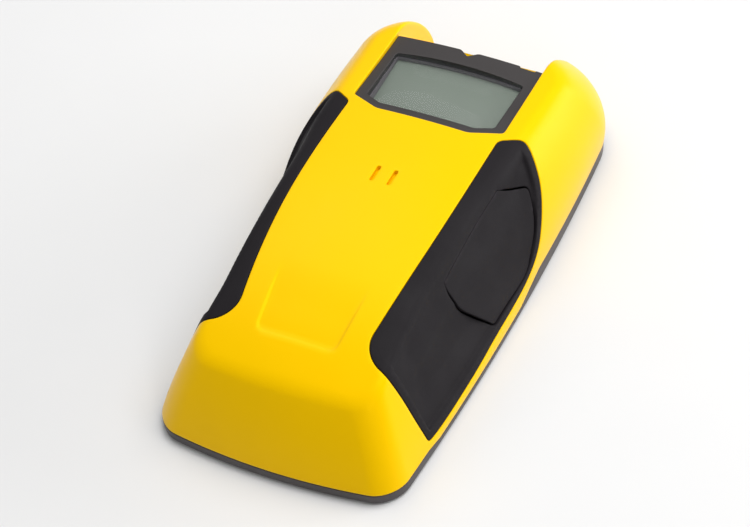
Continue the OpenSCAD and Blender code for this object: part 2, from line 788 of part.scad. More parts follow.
front_cover();
back_cover();
left_grip();
right_grip();
scan_button();
display_bezel();
display_window();
lcd_frame();
lcd_glass();
lcd_reflector();
contact_strips();
main_board();
controller_chip();
crystal();
capacitors();
resistors();
switch_body();
switch_plunger();
buzzer_case();
buzzer_diaphragm();
sensor_board();
sensor_plates();
sensor_chip();
link_housing();
link_pins();
battery_case();
battery_terminals();
battery_snap();
red_lead();
black_lead();
battery_pad();
battery_door();
rating_label();
case_screws();
main_board_screws();
sensor_board_screws();
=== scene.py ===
import math

import bmesh
import bpy
import numpy as np
from mathutils import Matrix, Vector
from mathutils.geometry import delaunay_2d_cdt
from mathutils.kdtree import KDTree


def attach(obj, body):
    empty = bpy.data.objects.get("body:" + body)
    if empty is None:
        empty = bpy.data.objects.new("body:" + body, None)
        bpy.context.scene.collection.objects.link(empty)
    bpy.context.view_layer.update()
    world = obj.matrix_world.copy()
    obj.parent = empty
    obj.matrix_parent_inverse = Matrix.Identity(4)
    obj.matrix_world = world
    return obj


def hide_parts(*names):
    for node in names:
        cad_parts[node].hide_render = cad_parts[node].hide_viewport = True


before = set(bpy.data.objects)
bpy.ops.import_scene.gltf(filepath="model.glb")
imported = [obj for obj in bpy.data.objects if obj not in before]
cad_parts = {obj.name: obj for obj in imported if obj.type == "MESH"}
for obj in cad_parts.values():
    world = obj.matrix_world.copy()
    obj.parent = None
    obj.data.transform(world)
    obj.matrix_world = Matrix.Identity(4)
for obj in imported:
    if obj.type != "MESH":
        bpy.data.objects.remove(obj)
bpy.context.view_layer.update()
MM = 0.001

# ---------- body form, in millimetres: the formulas of the CAD source ----------

HALF_W, HALF_LEN, BODY_H = 39.9, 80.0, 38.4
FOOT_R, HEAD_R, SIDE_TAPER, FOOT_BOW, HEAD_BOW = 8.0, 17.0, 0.085, 0.043, 0.063
RIM_HALF_W, RIM_FOOT_Y, RIM_HEAD_Y = 28.6, -68.4, 63.5
RIM_FOOT_R, RIM_HEAD_R, RIM_BOW, RIM_TAPER, RIM_TAPER_SPAN = 7.0, 9.0, 0.03, 0.05, 70
BULGE_FOOT, BULGE_HEAD, SWELL_FOOT_Y, SWELL_RUN = 0.9, 5.2, -40, 90
TOP_SPAN, TOP_SLOPE, TOP_ARCH, TOP_TURN, TOP_CROWN, CROWN_SPAN = 75.0, -1.4, -9.3, 6.9, 1.2, 24.0
ROUND = 3.0
WALL_FOOT_Z = 3.6
WALL_RUN = 30.0
T_EDGE = 1 - ROUND / (ROUND + WALL_RUN)
D_FOOT = ROUND + WALL_RUN
D_END = D_FOOT + WALL_FOOT_Z
PARTING = ((-95, 3.4), (-58, 3.4), (-52, 2.2), (-2, 2.2), (11, 5.0), (95, 5.0))
HORN_X = 22.95
CHANNEL_Y = 57.45
SEAM = 0.15
SKIN_T = 2.0
GRIP_T = 1.7


def smooth(t):
    c = np.clip(t, 0.0, 1.0)
    return c * c * (3 - 2 * c)


def unit(v):
    return v / np.maximum(np.linalg.norm(v, axis=-1, keepdims=True), 1e-12)


def top_z(x, y):
    s = y / TOP_SPAN
    return BODY_H + TOP_SLOPE * s + TOP_ARCH * s**2 + TOP_TURN * s**3 - TOP_CROWN * (x / CROWN_SPAN) ** 2


def outline(u, w, foot_y, head_y, rf, rh, taper, foot, head):
    """Rounded rectangle with tapered sides and bowed ends; u runs from 0 to 8, counter-clockwise."""
    c, h = (foot_y + head_y) / 2, (head_y - foot_y) / 2
    seg = np.floor(u).astype(int) % 8
    f = u - np.floor(u)
    ca, sa, one = np.cos(f * np.pi / 2), np.sin(f * np.pi / 2), np.ones_like(f)
    side = 2 * h - rh - rf
    x = np.choose(seg, [
        w * one, w - rh + rh * ca, (w - rh) * (1 - 2 * f), rh - w - rh * sa,
        -w * one, rf - w - rf * ca, (w - rf) * (2 * f - 1), w - rf + rf * sa])
    y = np.choose(seg, [
        rf - h + side * f, h - rh + rh * sa, h * one, h - rh + rh * ca,
        h - rh - side * f, rf - h - rf * sa, -h * one, rf - h - rf * ca])
    bow = np.where(y < 0, foot, head)
    return np.stack([x * (1 - taper * (y / h) ** 2), y * (1 - bow * (x / w) ** 2) + c], -1)


def base_line(u):
    return outline(u, HALF_W, -HALF_LEN, HALF_LEN, FOOT_R, HEAD_R, SIDE_TAPER, FOOT_BOW, HEAD_BOW)


def rim_line(u):
    r = outline(u, RIM_HALF_W, RIM_FOOT_Y, RIM_HEAD_Y, RIM_FOOT_R, RIM_HEAD_R, 0.0, RIM_BOW, RIM_BOW)
    r[..., 0] *= 1 + RIM_TAPER * r[..., 1] / RIM_TAPER_SPAN
    return r


def wall_point(b, r, o, t):
    swell = BULGE_FOOT + (BULGE_HEAD - BULGE_FOOT) * smooth((b[..., 1] - SWELL_FOOT_Y) / SWELL_RUN)
    z = WALL_FOOT_Z + (top_z(r[..., 0], r[..., 1]) - WALL_FOOT_Z) * t
    xy = b + (r - b) * t[..., None] + o * (swell * 4 * t * (1 - t))[..., None]
    return np.concatenate([xy, z[..., None]], -1)


def skin_point(u, d):
    """Point of the outer surface: u round the body, d outward from the top edge, unrolled."""
    b, r = base_line(u), rim_line(u)
    o = unit(b - r)
    t = np.clip(T_EDGE * (1 - (d - ROUND) / WALL_RUN), 0.0, T_EDGE)
    wall = wall_point(b, r, o, t)
    wall[..., 2] -= np.maximum(d - D_FOOT, 0)
    crease = wall_point(b, r, o, np.ones_like(t))
    top_d = np.minimum(d, -ROUND)
    top_xy = r + o * top_d[..., None]
    top = np.concatenate([top_xy, top_z(top_xy[..., 0], top_xy[..., 1])[..., None]], -1)
    k = np.clip((ROUND - d) / (2 * ROUND), 0, 1)[..., None]
    turn = wall * (1 - k) ** 2 + crease * 2 * k * (1 - k) + top * k**2
    return turn


def flat_point(u, d):
    b, r = base_line(u), rim_line(u)
    return r + unit(b - r) * d[..., None]


TABLE_U = np.linspace(0, 8, 1601)
TABLE_RIM = rim_line(TABLE_U)
TABLE_OUT = unit(base_line(TABLE_U) - TABLE_RIM)


def band_coords(xy, chunk=4000):
    """(u, d) of points of the unrolled plane."""
    us, ds = [], []
    for k in range(0, len(xy), chunk):
        p = xy[k:k + chunk, None, :] - TABLE_RIM[None]
        cross = p[..., 0] * TABLE_OUT[:, 1] - p[..., 1] * TABLE_OUT[:, 0]
        along = p[..., 0] * TABLE_OUT[:, 0] + p[..., 1] * TABLE_OUT[:, 1]
        change = cross[:, :-1] * cross[:, 1:] <= 0
        a = np.where(change, along[:, :-1], -1e9)
        i = a.argmax(1)
        row = np.arange(len(i))
        c0, c1 = cross[row, i], cross[row, i + 1]
        f = c0 / np.where(np.abs(c0 - c1) < 1e-12, 1e-12, c0 - c1)
        us.append(TABLE_U[i] + f * (TABLE_U[1] - TABLE_U[0]))
        ds.append(along[row, i] * (1 - f) + along[row, i + 1] * f)
    return np.concatenate(us), np.concatenate(ds)


def place(xy):
    """3-D points, outward normals and (u, d) of points of the unrolled plane."""
    u, d = band_coords(xy)
    p = skin_point(u, d)
    e = 0.02
    du = skin_point(u + e, d) - skin_point(u - e, d)
    dd = skin_point(u, d + e) - skin_point(u, d - e)
    n = unit(np.cross(dd, du))
    on_top = d <= -ROUND
    x, y = xy[:, 0], xy[:, 1]
    s = y / TOP_SPAN
    slope = (TOP_SLOPE + 2 * TOP_ARCH * s + 3 * TOP_TURN * s**2) / TOP_SPAN
    flat_n = unit(np.stack([2 * TOP_CROWN * x / CROWN_SPAN**2, -slope, np.ones_like(x)], -1))
    flat_p = np.stack([x, y, top_z(x, y)], -1)
    n[on_top], p[on_top] = flat_n[on_top], flat_p[on_top]
    return p, n, u, d


def locate(points):
    """Unrolled-plane places of 3-D points that lie near the surface."""
    points = np.array(points, float)
    uu, dd = np.meshgrid(np.linspace(0, 8, 801), np.linspace(-7, D_END, 110))
    uu, dd = uu.ravel(), dd.ravel()
    grid = skin_point(uu, dd)
    near = np.array([((grid - p) ** 2).sum(1).argmin() for p in points])
    u, d = uu[near], dd[near]
    e = 1e-3
    for _ in range(6):
        p = skin_point(u, d)
        ju = (skin_point(u + e, d) - p) / e
        jd = (skin_point(u, d + e) - p) / e
        g = points - p
        a, b, c = (ju * ju).sum(1), (ju * jd).sum(1), (jd * jd).sum(1)
        gu, gd = (ju * g).sum(1), (jd * g).sum(1)
        det = a * c - b * b
        u = u + np.clip((c * gu - b * gd) / det, -0.02, 0.02)
        d = np.clip(d + np.clip((a * gd - b * gu) / det, -1, 1), -7, D_END)
    flat = flat_point(u, d)
    _, plan_d = band_coords(points[:, :2].copy())
    deep = plan_d < -ROUND
    flat[deep] = points[deep, :2]
    return flat


# ---------- curves of the unrolled plane ----------


def rounded(points, radii, step, closed=True):
    """Corners replaced with quadratic curves that start up to a radius away from them."""
    points = np.array(points, float)
    radii = np.broadcast_to(radii, (len(points),))
    res = []
    n = len(points)
    for i in range(n):
        p = points[i]
        if not closed and i in (0, n - 1):
            res.append(p)
            continue
        a, b = points[(i - 1) % n] - p, points[(i + 1) % n] - p
        la, lb = np.linalg.norm(a), np.linalg.norm(b)
        ra, rb = min(radii[i], la * 0.498), min(radii[i], lb * 0.498)
        pa, pb = p + a * ra / la, p + b * rb / lb
        m = max(3, int((ra + rb) / step) + 2)
        for k in range(m + 1):
            t = k / m
            res.append(pa * (1 - t) ** 2 + p * 2 * t * (1 - t) + pb * t**2)
    res = np.array(res)
    if closed:
        return even(res, step)
    return even_open(res, step)


def even_open(points, step):
    seg = np.linalg.norm(np.diff(points, axis=0), axis=1)
    s = np.concatenate([[0], np.cumsum(seg)])
    n = max(2, int(round(s[-1] / step)))
    want = np.linspace(0, s[-1], n + 1)
    return np.stack([np.interp(want, s, points[:, k]) for k in range(points.shape[1])], -1)


def even(points, step):
    return even_open(np.vstack([points, points[:1]]), step)[:-1]


def normals_2d(points, closed=True):
    """Left-hand normals of a polyline, averaged at its points."""
    if closed:
        t = np.roll(points, -1, 0) - points
        t = unit(t)
        prev = np.roll(t, 1, 0)
    else:
        t = unit(np.diff(points, axis=0))
        t = np.vstack([t, t[-1:]])
        prev = np.vstack([t[:1], t[:-1]])
    m = t + prev
    m = m / np.maximum((m * m).sum(1, keepdims=True) / 2, 0.5)
    return np.stack([-m[:, 1], m[:, 0]], -1)


def inside(points, loop, chunk=4000):
    res = []
    a, b = loop, np.roll(loop, -1, 0)
    for k in range(0, len(points), chunk):
        p = points[k:k + chunk]
        y = p[:, 1:2]
        hit = (a[:, 1] > y) != (b[:, 1] > y)
        dy = b[:, 1] - a[:, 1]
        x = a[:, 0] + (y - a[:, 1]) * (b[:, 0] - a[:, 0]) / np.where(dy == 0, 1e-12, dy)
        res.append((hit & (p[:, 0:1] < x)).sum(1) % 2 == 1)
    return np.concatenate(res) if res else np.zeros(0, bool)


def distance(points, line, closed=True, chunk=1500):
    """Distance from points to a polyline."""
    a = line if closed else line[:-1]
    b = np.roll(line, -1, 0) if closed else line[1:]
    ab = b - a
    ll = np.maximum((ab * ab).sum(1), 1e-12)
    res = []
    for k in range(0, len(points), chunk):
        p = points[k:k + chunk, None, :]
        t = np.clip(((p - a) * ab).sum(-1) / ll, 0, 1)
        g = p - a - ab * t[..., None]
        res.append(np.sqrt((g * g).sum(-1)).min(1))
    return np.concatenate(res) if res else np.zeros(0)


def point_gap(points, others):
    """Distance to the nearest of the other points."""
    tree = KDTree(len(others))
    for i, p in enumerate(others):
        tree.insert((p[0], p[1], 0), i)
    tree.balance()
    return np.array([tree.find((p[0], p[1], 0))[2] for p in points])


def hexes(lo, hi, step):
    rows = np.arange(lo[1], hi[1], step * 0.866)
    res = []
    for k, y in enumerate(rows):
        x = np.arange(lo[0] + (k % 2) * step / 2, hi[0], step)
        res.append(np.stack([x, np.full_like(x, y)], -1))
    return np.concatenate(res)


ARC_STEPS = (0, 25, 50, 70, 90)


def fill(loops, radii, spacing, extra=None, inner=None):
    """Triangles of the region left of all loops, with rounding rows along them.

    Gives points, faces, edge depth of each point, and each loop's own point numbers."""
    pts, depth, edges, first_rows = [], [], [], []
    count = 0
    for loop, radius in zip(loops, radii):
        radius = np.broadcast_to(radius, (len(loop),)).astype(float)
        n = normals_2d(loop)
        for k, a in enumerate(ARC_STEPS):
            c, s = 1 - math.cos(math.radians(a)), 1 - math.sin(math.radians(a))
            keep = (radius * c > 0.012) | (k == 0)
            idx = np.cumsum(keep) - 1 + count
            row = (loop + n * (radius * c)[:, None])[keep]
            pts.append(row)
            depth.append((radius * s)[keep])
            nxt = np.roll(np.arange(len(loop)), -1)
            both = keep & keep[nxt]
            edges += [(int(idx[i]), int(idx[nxt[i]])) for i in np.nonzero(both)[0]]
            if k == 0:
                first_rows.append(np.arange(count, count + len(row)))
            count += len(row)
    rows = np.concatenate(pts)
    first_set = np.zeros(count, bool)
    for f in first_rows:
        first_set[f] = True
    lo, hi = loops[0].min(0), loops[0].max(0)
    cand = hexes(lo, hi, spacing) if inner is None else inner
    if extra is not None and len(extra):
        far = point_gap(cand, extra) > spacing * 0.55
        cand = np.vstack([cand[far], extra])
    ok = inside(cand, loops[0])
    for loop in loops[1:]:
        ok &= ~inside(cand, loop)
    cand = cand[ok]
    cand = cand[point_gap(cand, rows) > spacing * 0.45]
    allp = np.vstack([rows, cand])
    alld = np.concatenate(depth + [np.zeros(len(cand))])
    out = delaunay_2d_cdt([Vector(p) for p in allp], edges, [], 0, 1e-7)
    verts, faces, origin = out[0], out[2], out[3]
    if len(verts) != len(allp):
        print("fill: points merged", len(allp), len(verts))
    back = np.array([o[0] if o else -1 for o in origin])
    tri = np.array([[back[i] for i in f] for f in faces if len(f) == 3])
    tri = tri[(tri >= 0).all(1)]
    a, b, c = allp[tri[:, 0]], allp[tri[:, 1]], allp[tri[:, 2]]
    area = (b[:, 0] - a[:, 0]) * (c[:, 1] - a[:, 1]) - (b[:, 1] - a[:, 1]) * (c[:, 0] - a[:, 0])
    tri[area < 0] = tri[area < 0][:, ::-1]
    tri = tri[np.abs(area) > 1e-9]
    only_edge = np.all((tri < count) & first_set[np.minimum(tri, count - 1)], axis=1)
    mid = allp[tri].mean(1)
    good = np.ones(len(tri), bool)
    test = np.nonzero(only_edge)[0]
    if len(test):
        ok = inside(mid[test], loops[0])
        for loop in loops[1:]:
            ok &= ~inside(mid[test], loop)
        good[test] = ok
    return allp, tri[good], alld, first_rows


# ---------- meshes ----------


def mesh_object(name, points, faces, scale=MM):
    mesh = bpy.data.meshes.new(name)
    mesh.from_pydata([tuple(p) for p in (np.asarray(points) * scale).tolist()], [], faces)
    mesh.validate()
    mesh.update()
    obj = bpy.data.objects.new(name, mesh)
    bpy.context.scene.collection.objects.link(obj)
    return obj


def outer_normals(sheets):
    """Vertex normals of several open sheets taken together, so that their shared edges match."""
    pts = np.vstack([p for p, _ in sheets])
    _, same = np.unique(np.round(pts, 4), axis=0, return_inverse=True)
    same = same.reshape(-1)
    acc = np.zeros((same.max() + 1, 3))
    start = 0
    for p, f in sheets:
        a, b, c = p[f[:, 0]], p[f[:, 1]], p[f[:, 2]]
        fn = np.cross(b - a, c - a)
        ids = same[start:start + len(p)]
        for k in range(3):
            e1 = unit(p[f[:, (k + 1) % 3]] - p[f[:, k]])
            e2 = unit(p[f[:, (k + 2) % 3]] - p[f[:, k]])
            ang = np.arccos(np.clip((e1 * e2).sum(1), -1, 1))
            np.add.at(acc, ids[f[:, k]], unit(fn) * ang[:, None])
        start += len(p)
    acc = unit(acc)
    res, start = [], 0
    for p, _ in sheets:
        res.append(acc[same[start:start + len(p)]])
        start += len(p)
    return res


def close_sheet(name, outer, inner, tri, normals=None):
    """Closed solid between an outer sheet and its inner copy."""
    n = len(outer)
    if normals is None:
        normals = outer_normals([(outer, tri)])[0]
    directed = {}
    for f in tri.tolist():
        for k in range(3):
            directed[(f[k], f[(k + 1) % 3])] = True
    rim = [(a, b) for (a, b) in directed if (b, a) not in directed]
    used = np.zeros(n, bool)
    used[tri.ravel()] = True
    remap = np.cumsum(used) - 1
    m = int(used.sum())
    pts = np.vstack([outer[used], inner[used]])
    t = remap[tri]
    faces = t.tolist() + (t[:, ::-1] + m).tolist()
    faces += [[int(remap[b]), int(remap[a]), int(remap[a]) + m, int(remap[b]) + m] for a, b in rim]
    obj = mesh_object(name, pts, faces)
    mesh = obj.data
    nv = normals[used]
    loop_n = np.zeros((len(mesh.loops), 3))
    vi = np.empty(len(mesh.loops), int)
    mesh.loops.foreach_get("vertex_index", vi)
    face_n = np.empty(len(mesh.polygons) * 3)
    mesh.polygons.foreach_get("normal", face_n)
    face_n = face_n.reshape(-1, 3)
    total = np.empty(len(mesh.polygons), int)
    mesh.polygons.foreach_get("loop_total", total)
    owner = np.repeat(np.arange(len(total)), total)
    loop_n[:] = face_n[owner]
    k = 3 * len(tri)
    if len(mesh.polygons) == len(faces):
        loop_n[:k] = nv[vi[:k]]
        loop_n[k:2 * k] = -nv[vi[k:2 * k] - m]
    mesh.polygons.foreach_set("use_smooth", [True] * len(mesh.polygons))
    mesh.normals_split_custom_set(loop_n.tolist())
    mesh.update()
    return obj


def rings_solid(name, rings, closed_tube=False):
    """Solid lofted through rings of equal count, capped at both ends unless it is a closed tube."""
    n = len(rings[0])
    pts = np.vstack(rings)
    faces = []
    last = len(rings) if closed_tube else len(rings) - 1
    for k in range(last):
        a0, b0 = k * n, ((k + 1) % len(rings)) * n
        faces += [[a0 + i, a0 + (i + 1) % n, b0 + (i + 1) % n, b0 + i] for i in range(n)]
    if not closed_tube:
        faces.append(list(range(n))[::-1])
        faces.append([(len(rings) - 1) * n + i for i in range(n)])
    obj = mesh_object(name, pts, faces)
    fix_normals(obj)
    return obj


def fix_normals(obj, angle=40):
    bm = bmesh.new()
    bm.from_mesh(obj.data)
    bmesh.ops.recalc_face_normals(bm, faces=bm.faces)
    bm.to_mesh(obj.data)
    bm.free()
    obj.data.polygons.foreach_set("use_smooth", [True] * len(obj.data.polygons))
    obj.data.set_sharp_from_angle(angle=math.radians(angle))


BEVEL_ANGLE = math.radians(28)


def softened(node, width, body):
    """A copy of a CAD node with its flat faces merged and its edges rounded, which stands for it."""
    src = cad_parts[node]
    bm = bmesh.new()
    bm.from_mesh(src.data)
    bmesh.ops.remove_doubles(bm, verts=bm.verts, dist=1e-6)
    bmesh.ops.dissolve_limit(
        bm, angle_limit=math.radians(2), verts=bm.verts, edges=bm.edges, delimit=set())
    edges = [e for e in bm.edges if len(e.link_faces) == 2 and e.calc_face_angle(0) > BEVEL_ANGLE]
    bmesh.ops.bevel(
        bm, geom=edges, offset=width * MM, offset_type="OFFSET", segments=2, profile=0.5,
        affect="EDGES", clamp_overlap=True)
    bmesh.ops.triangulate(bm, faces=[f for f in bm.faces if len(f.verts) > 4])
    mesh = bpy.data.meshes.new(node + "_soft")
    bm.to_mesh(mesh)
    bm.free()
    obj = bpy.data.objects.new(node + "_detail", mesh)
    bpy.context.scene.collection.objects.link(obj)
    mesh.polygons.foreach_set("use_smooth", [True] * len(mesh.polygons))
    mesh.set_sharp_from_angle(angle=math.radians(32))
    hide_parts(node)
    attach(obj, body)
    return obj


# ---------- materials ----------


def linear(rgb):
    return tuple(c / 12.92 / 255 if c <= 10 else ((c / 255 + 0.055) / 1.055) ** 2.4 for c in rgb) + (1.0,)


def material(name, rgb, rough, grain=0.05, grain_size=0.25, mottle=0.04, rough_mottle=0.06,
             metallic=0.0, wear=0.0, wear_rgb=None, alpha=1.0, ior=1.5, specular=0.5, tint=None,
             streak=None):
    """Procedural finish: colour drift, uneven gloss, fine grain and rubbed edges."""
    mat = bpy.data.materials.new(name)
    mat.use_nodes = True
    nt = mat.node_tree
    bsdf = nt.nodes["Principled BSDF"]
    bsdf.inputs["Metallic"].default_value = metallic
    bsdf.inputs["IOR"].default_value = ior
    bsdf.inputs["Specular IOR Level"].default_value = specular
    if tint:
        bsdf.inputs["Specular Tint"].default_value = linear(tint)
    bsdf.inputs["Alpha"].default_value = alpha
    where = nt.nodes.new("ShaderNodeTexCoord")
    colour = linear(rgb)

    def noise(scale, detail, stretch=None):
        n = nt.nodes.new("ShaderNodeTexNoise")
        n.inputs["Scale"].default_value = scale
        n.inputs["Detail"].default_value = detail
        if stretch:
            m = nt.nodes.new("ShaderNodeMapping")
            m.inputs["Scale"].default_value = stretch
            nt.links.new(where.outputs["Object"], m.inputs["Vector"])
            nt.links.new(m.outputs["Vector"], n.inputs["Vector"])
        else:
            nt.links.new(where.outputs["Object"], n.inputs["Vector"])
        return n

    def ranged(source, lo, hi):
        r = nt.nodes.new("ShaderNodeMapRange")
        r.inputs["From Min"].default_value = 0.3
        r.inputs["From Max"].default_value = 0.7
        r.inputs["To Min"].default_value = lo
        r.inputs["To Max"].default_value = hi
        nt.links.new(source, r.inputs["Value"])
        return r.outputs["Result"]

    def mixed(factor, a, b):
        m = nt.nodes.new("ShaderNodeMix")
        m.data_type = "RGBA"
        if hasattr(factor, "links"):
            nt.links.new(factor, m.inputs["Factor"])
        for k, v in (("A", a), ("B", b)):
            socket = [s for s in m.inputs if s.name == k and s.type == "RGBA"][0]
            if hasattr(v, "links"):
                nt.links.new(v, socket)
            else:
                socket.default_value = v
        return [s for s in m.outputs if s.type == "RGBA"][0]

    broad = noise(38, 3, streak)
    low = tuple(c * (1 - mottle) for c in colour[:3]) + (1.0,)
    high = tuple(min(1.0, c * (1 + mottle)) for c in colour[:3]) + (1.0,)
    base = mixed(ranged(broad.outputs["Fac"], 0.0, 1.0), low, high)
    if wear:
        geo = nt.nodes.new("ShaderNodeNewGeometry")
        edge = nt.nodes.new("ShaderNodeMapRange")
        edge.inputs["From Min"].default_value = 0.53
        edge.inputs["From Max"].default_value = 0.62
        edge.inputs["To Max"].default_value = wear
        nt.links.new(geo.outputs["Pointiness"], edge.inputs["Value"])
        patchy = noise(260, 4)
        both = nt.nodes.new("ShaderNodeMath")
        both.operation = "MULTIPLY"
        nt.links.new(edge.outputs["Result"], both.inputs[0])
        nt.links.new(ranged(patchy.outputs["Fac"], 0.2, 1.0), both.inputs[1])
        base = mixed(both.outputs["Value"], base, linear(wear_rgb))
    nt.links.new(base, bsdf.inputs["Base Color"])
    gloss = noise(90, 4, streak)
    nt.links.new(ranged(gloss.outputs["Fac"], rough - rough_mottle, rough + rough_mottle),
                 bsdf.inputs["Roughness"])
    fine = noise(1000 / grain_size, 2)
    bump = nt.nodes.new("ShaderNodeBump")
    bump.inputs["Strength"].default_value = grain
    bump.inputs["Distance"].default_value = 0.00008
    nt.links.new(fine.outputs["Fac"], bump.inputs["Height"])
    nt.links.new(bump.outputs["Normal"], bsdf.inputs["Normal"])
    return mat


MATERIALS = {
    "yellow_shell": material("yellow_plastic", (250, 199, 0), 0.32, 0.05, 0.3, 0.012, 0.03,
                             tint=(255, 196, 40), wear=0.08, wear_rgb=(255, 222, 70)),
    "dark_cover": material("base_plastic", (66, 61, 62), 0.42, 0.22, 0.4, 0.07, wear=0.3,
                           wear_rgb=(110, 104, 104)),
    "dark_bezel": material("bezel_plastic", (48, 44, 44), 0.5, 0.15, 0.3, 0.05, wear=0.25,
                           wear_rgb=(105, 98, 100)),
    "grip_rubber": material("grip_rubber", (29, 26, 29), 0.62, 0.3, 0.45, 0.07, 0.06, wear=0.3,
                            wear_rgb=(76, 70, 76), specular=0.14),
    "clear_window": material("window_clear", (70, 74, 76), 0.05, 0.0, 0.5, 0.02, 0.01, alpha=0.14, ior=1.6),
    # Pale grey of the window's liner: painted reflection of the display on the well's walls
    "liner_painted_reflection": material("liner_painted_reflection", (112, 106, 112), 0.35, 0.1, 0.4, 0.08),
    "black_moulding": material("black_moulding", (34, 34, 36), 0.5, 0.2, 0.3, 0.08),
    "display_glass": material("display_glass", (146, 158, 145), 0.45, 0.02, 0.5, 0.035, 0.03),
    "reflector_film": material("reflector_film", (196, 204, 198), 0.35, 0.1, 0.3, 0.04),
    "contact_rubber": material("contact_rubber", (70, 70, 76), 0.7, 0.3, 0.2, 0.2, streak=(20, 1, 1)),
    "circuit_board": material("circuit_board", (30, 98, 54), 0.35, 0.3, 0.6, 0.14),
    "chip_plastic": material("chip_plastic", (32, 33, 36), 0.55, 0.3, 0.2, 0.1),
    "capacitor_sleeve": material("capacitor_sleeve", (44, 50, 66), 0.3, 0.08, 0.3, 0.08),
    "bright_can": material("bright_can", (196, 200, 204), 0.28, 0.12, 0.4, 0.05, metallic=1.0),
    "gold_contact": material("gold_contact", (210, 172, 78), 0.3, 0.1, 0.3, 0.06, metallic=1.0),
    "copper_plate": material("copper_plate", (200, 120, 72), 0.35, 0.12, 0.3, 0.1, metallic=1.0),
    "switch_button": material("switch_button", (216, 216, 210), 0.4, 0.1, 0.3, 0.05),
    "battery_can": material("battery_can", (52, 58, 68), 0.32, 0.08, 0.3, 0.08, wear=0.35,
                            wear_rgb=(150, 152, 156)),
    "battery_contact": material("battery_contact", (202, 204, 208), 0.25, 0.1, 0.3, 0.05, metallic=1.0),
    "red_insulation": material("red_insulation", (190, 34, 32), 0.4, 0.1, 0.3, 0.06),
    "black_insulation": material("black_insulation", (24, 24, 26), 0.4, 0.1, 0.3, 0.1),
    "foam": material("foam", (84, 87, 92), 0.9, 1.0, 0.8, 0.2),
    "label_film": material("label_film", (216, 217, 218), 0.4, 0.06, 0.4, 0.03),
    "screw_steel": material("screw_steel", (184, 187, 192), 0.32, 0.14, 0.3, 0.08, metallic=1.0),
}


def dress(obj, slot):
    obj.data.materials.clear()
    obj.data.materials.append(MATERIALS[slot])


def finish_piece(obj, slot, body, *nodes):
    dress(obj, slot)
    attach(obj, body)
    if nodes:
        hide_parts(*nodes)
    return obj


# ---------- outlines of the mouldings ----------

# Points of the body's surface on the right grip's outline: x, y, z, corner radius
GRIP_EDGE = (
    (23.1, 25.7, 35.9, 1.4), (29.5, 29.5, 34.7, 1.6), (31.6, 28.1, 32.2, 4), (34, 25.9, 28.8, 6),
    (36.2, 23.2, 24.8, 9), (38.4, 18, 18.7, 9), (39.7, 11.7, 11.2, 9), (39.8, 4.2, 7.5, 9),
    (39.6, -6, 6.4, 12), (39.3, -17, 6.1, 12), (39.1, -28, 5.1, 12), (38.6, -41, 4.9, 12),
    (38, -51, 4.9, 8), (37.5, -56.7, 5.5, 1.3), (34.6, -57.3, 14, 6), (31.5, -57.1, 21.5, 6),
    (26.4, -56.7, 29.6, 4), (23.5, -55.7, 30.3, 4), (20.7, -53, 31.1, 5), (19.5, -49.6, 32.1, 5),
    (20.1, -45.5, 33.1, 12), (21.6, -31.8, 35.7, 15), (22.9, -13.6, 37.2, 15), (23.3, 6.7, 37, 15),
)
# Open line round the button flap, from one end of its hinge to the other
FLAP_EDGE = (
    (30.2, 10.2, 34.3, 1), (32.4, 14.2, 31.1, 6), (34.8, 20, 27.3, 1.2), (36.3, 18.3, 24.3, 5),
    (38, 15.2, 19.5, 8), (38.9, 11.8, 15.6, 8), (39.5, 5.1, 10, 8), (39.3, -2, 9.3, 10),
    (38.8, -15.4, 9, 1.0), (36.4, -20.1, 16.7, 5), (34.3, -23.2, 21.9, 4), (32.3, -23.6, 26.8, 5),
    (30.5, -22.9, 31.1, 1),
)
STEP = 0.75
BORDER = 2.7
CREASE_DEPTH = 1.1
FLAP_GAP = 0.42
HINGE_GAP = 0.12
EDGE_R = 0.3
# Scoop depth by distance outward from the top edge
SCOOP_D = (-7.0, -4, -1.6, 0, 1.4, 3, 5, 8, 10.6, 11.8, 13.2, 16, 21, 26, 30, 34)
SCOOP_DEPTH = (0.0, 0.2, 0.52, 0.85, 1.5, 2.05, 2.35, 2.35, 2.1, 2.1, 2.45, 2.9, 3.0, 2.35, 1.5, 0.9)


def soft_interp(x, xs, ys):
    """Smooth curve through points, by cubic Hermite pieces."""
    xs, ys = np.array(xs, float), np.array(ys, float)
    slope = np.gradient(ys, xs)
    x = np.clip(x, xs[0], xs[-1])
    i = np.clip(np.searchsorted(xs, x) - 1, 0, len(xs) - 2)
    h = xs[i + 1] - xs[i]
    t = (x - xs[i]) / h
    return ((2 * t**3 - 3 * t**2 + 1) * ys[i] + (t**3 - 2 * t**2 + t) * h * slope[i]
            + (3 * t**2 - 2 * t**3) * ys[i + 1] + (t**3 - t**2) * h * slope[i + 1])


def ccw(loop):
    x, y = loop[:, 0], loop[:, 1]
    area = (x * np.roll(y, -1) - np.roll(x, -1) * y).sum()
    return loop if area > 0 else loop[::-1]


def cw(loop):
    return ccw(loop)[::-1]


def offset(loop, amount):
    """Counter-clockwise loop, moved outward."""
    return loop - normals_2d(loop) * amount


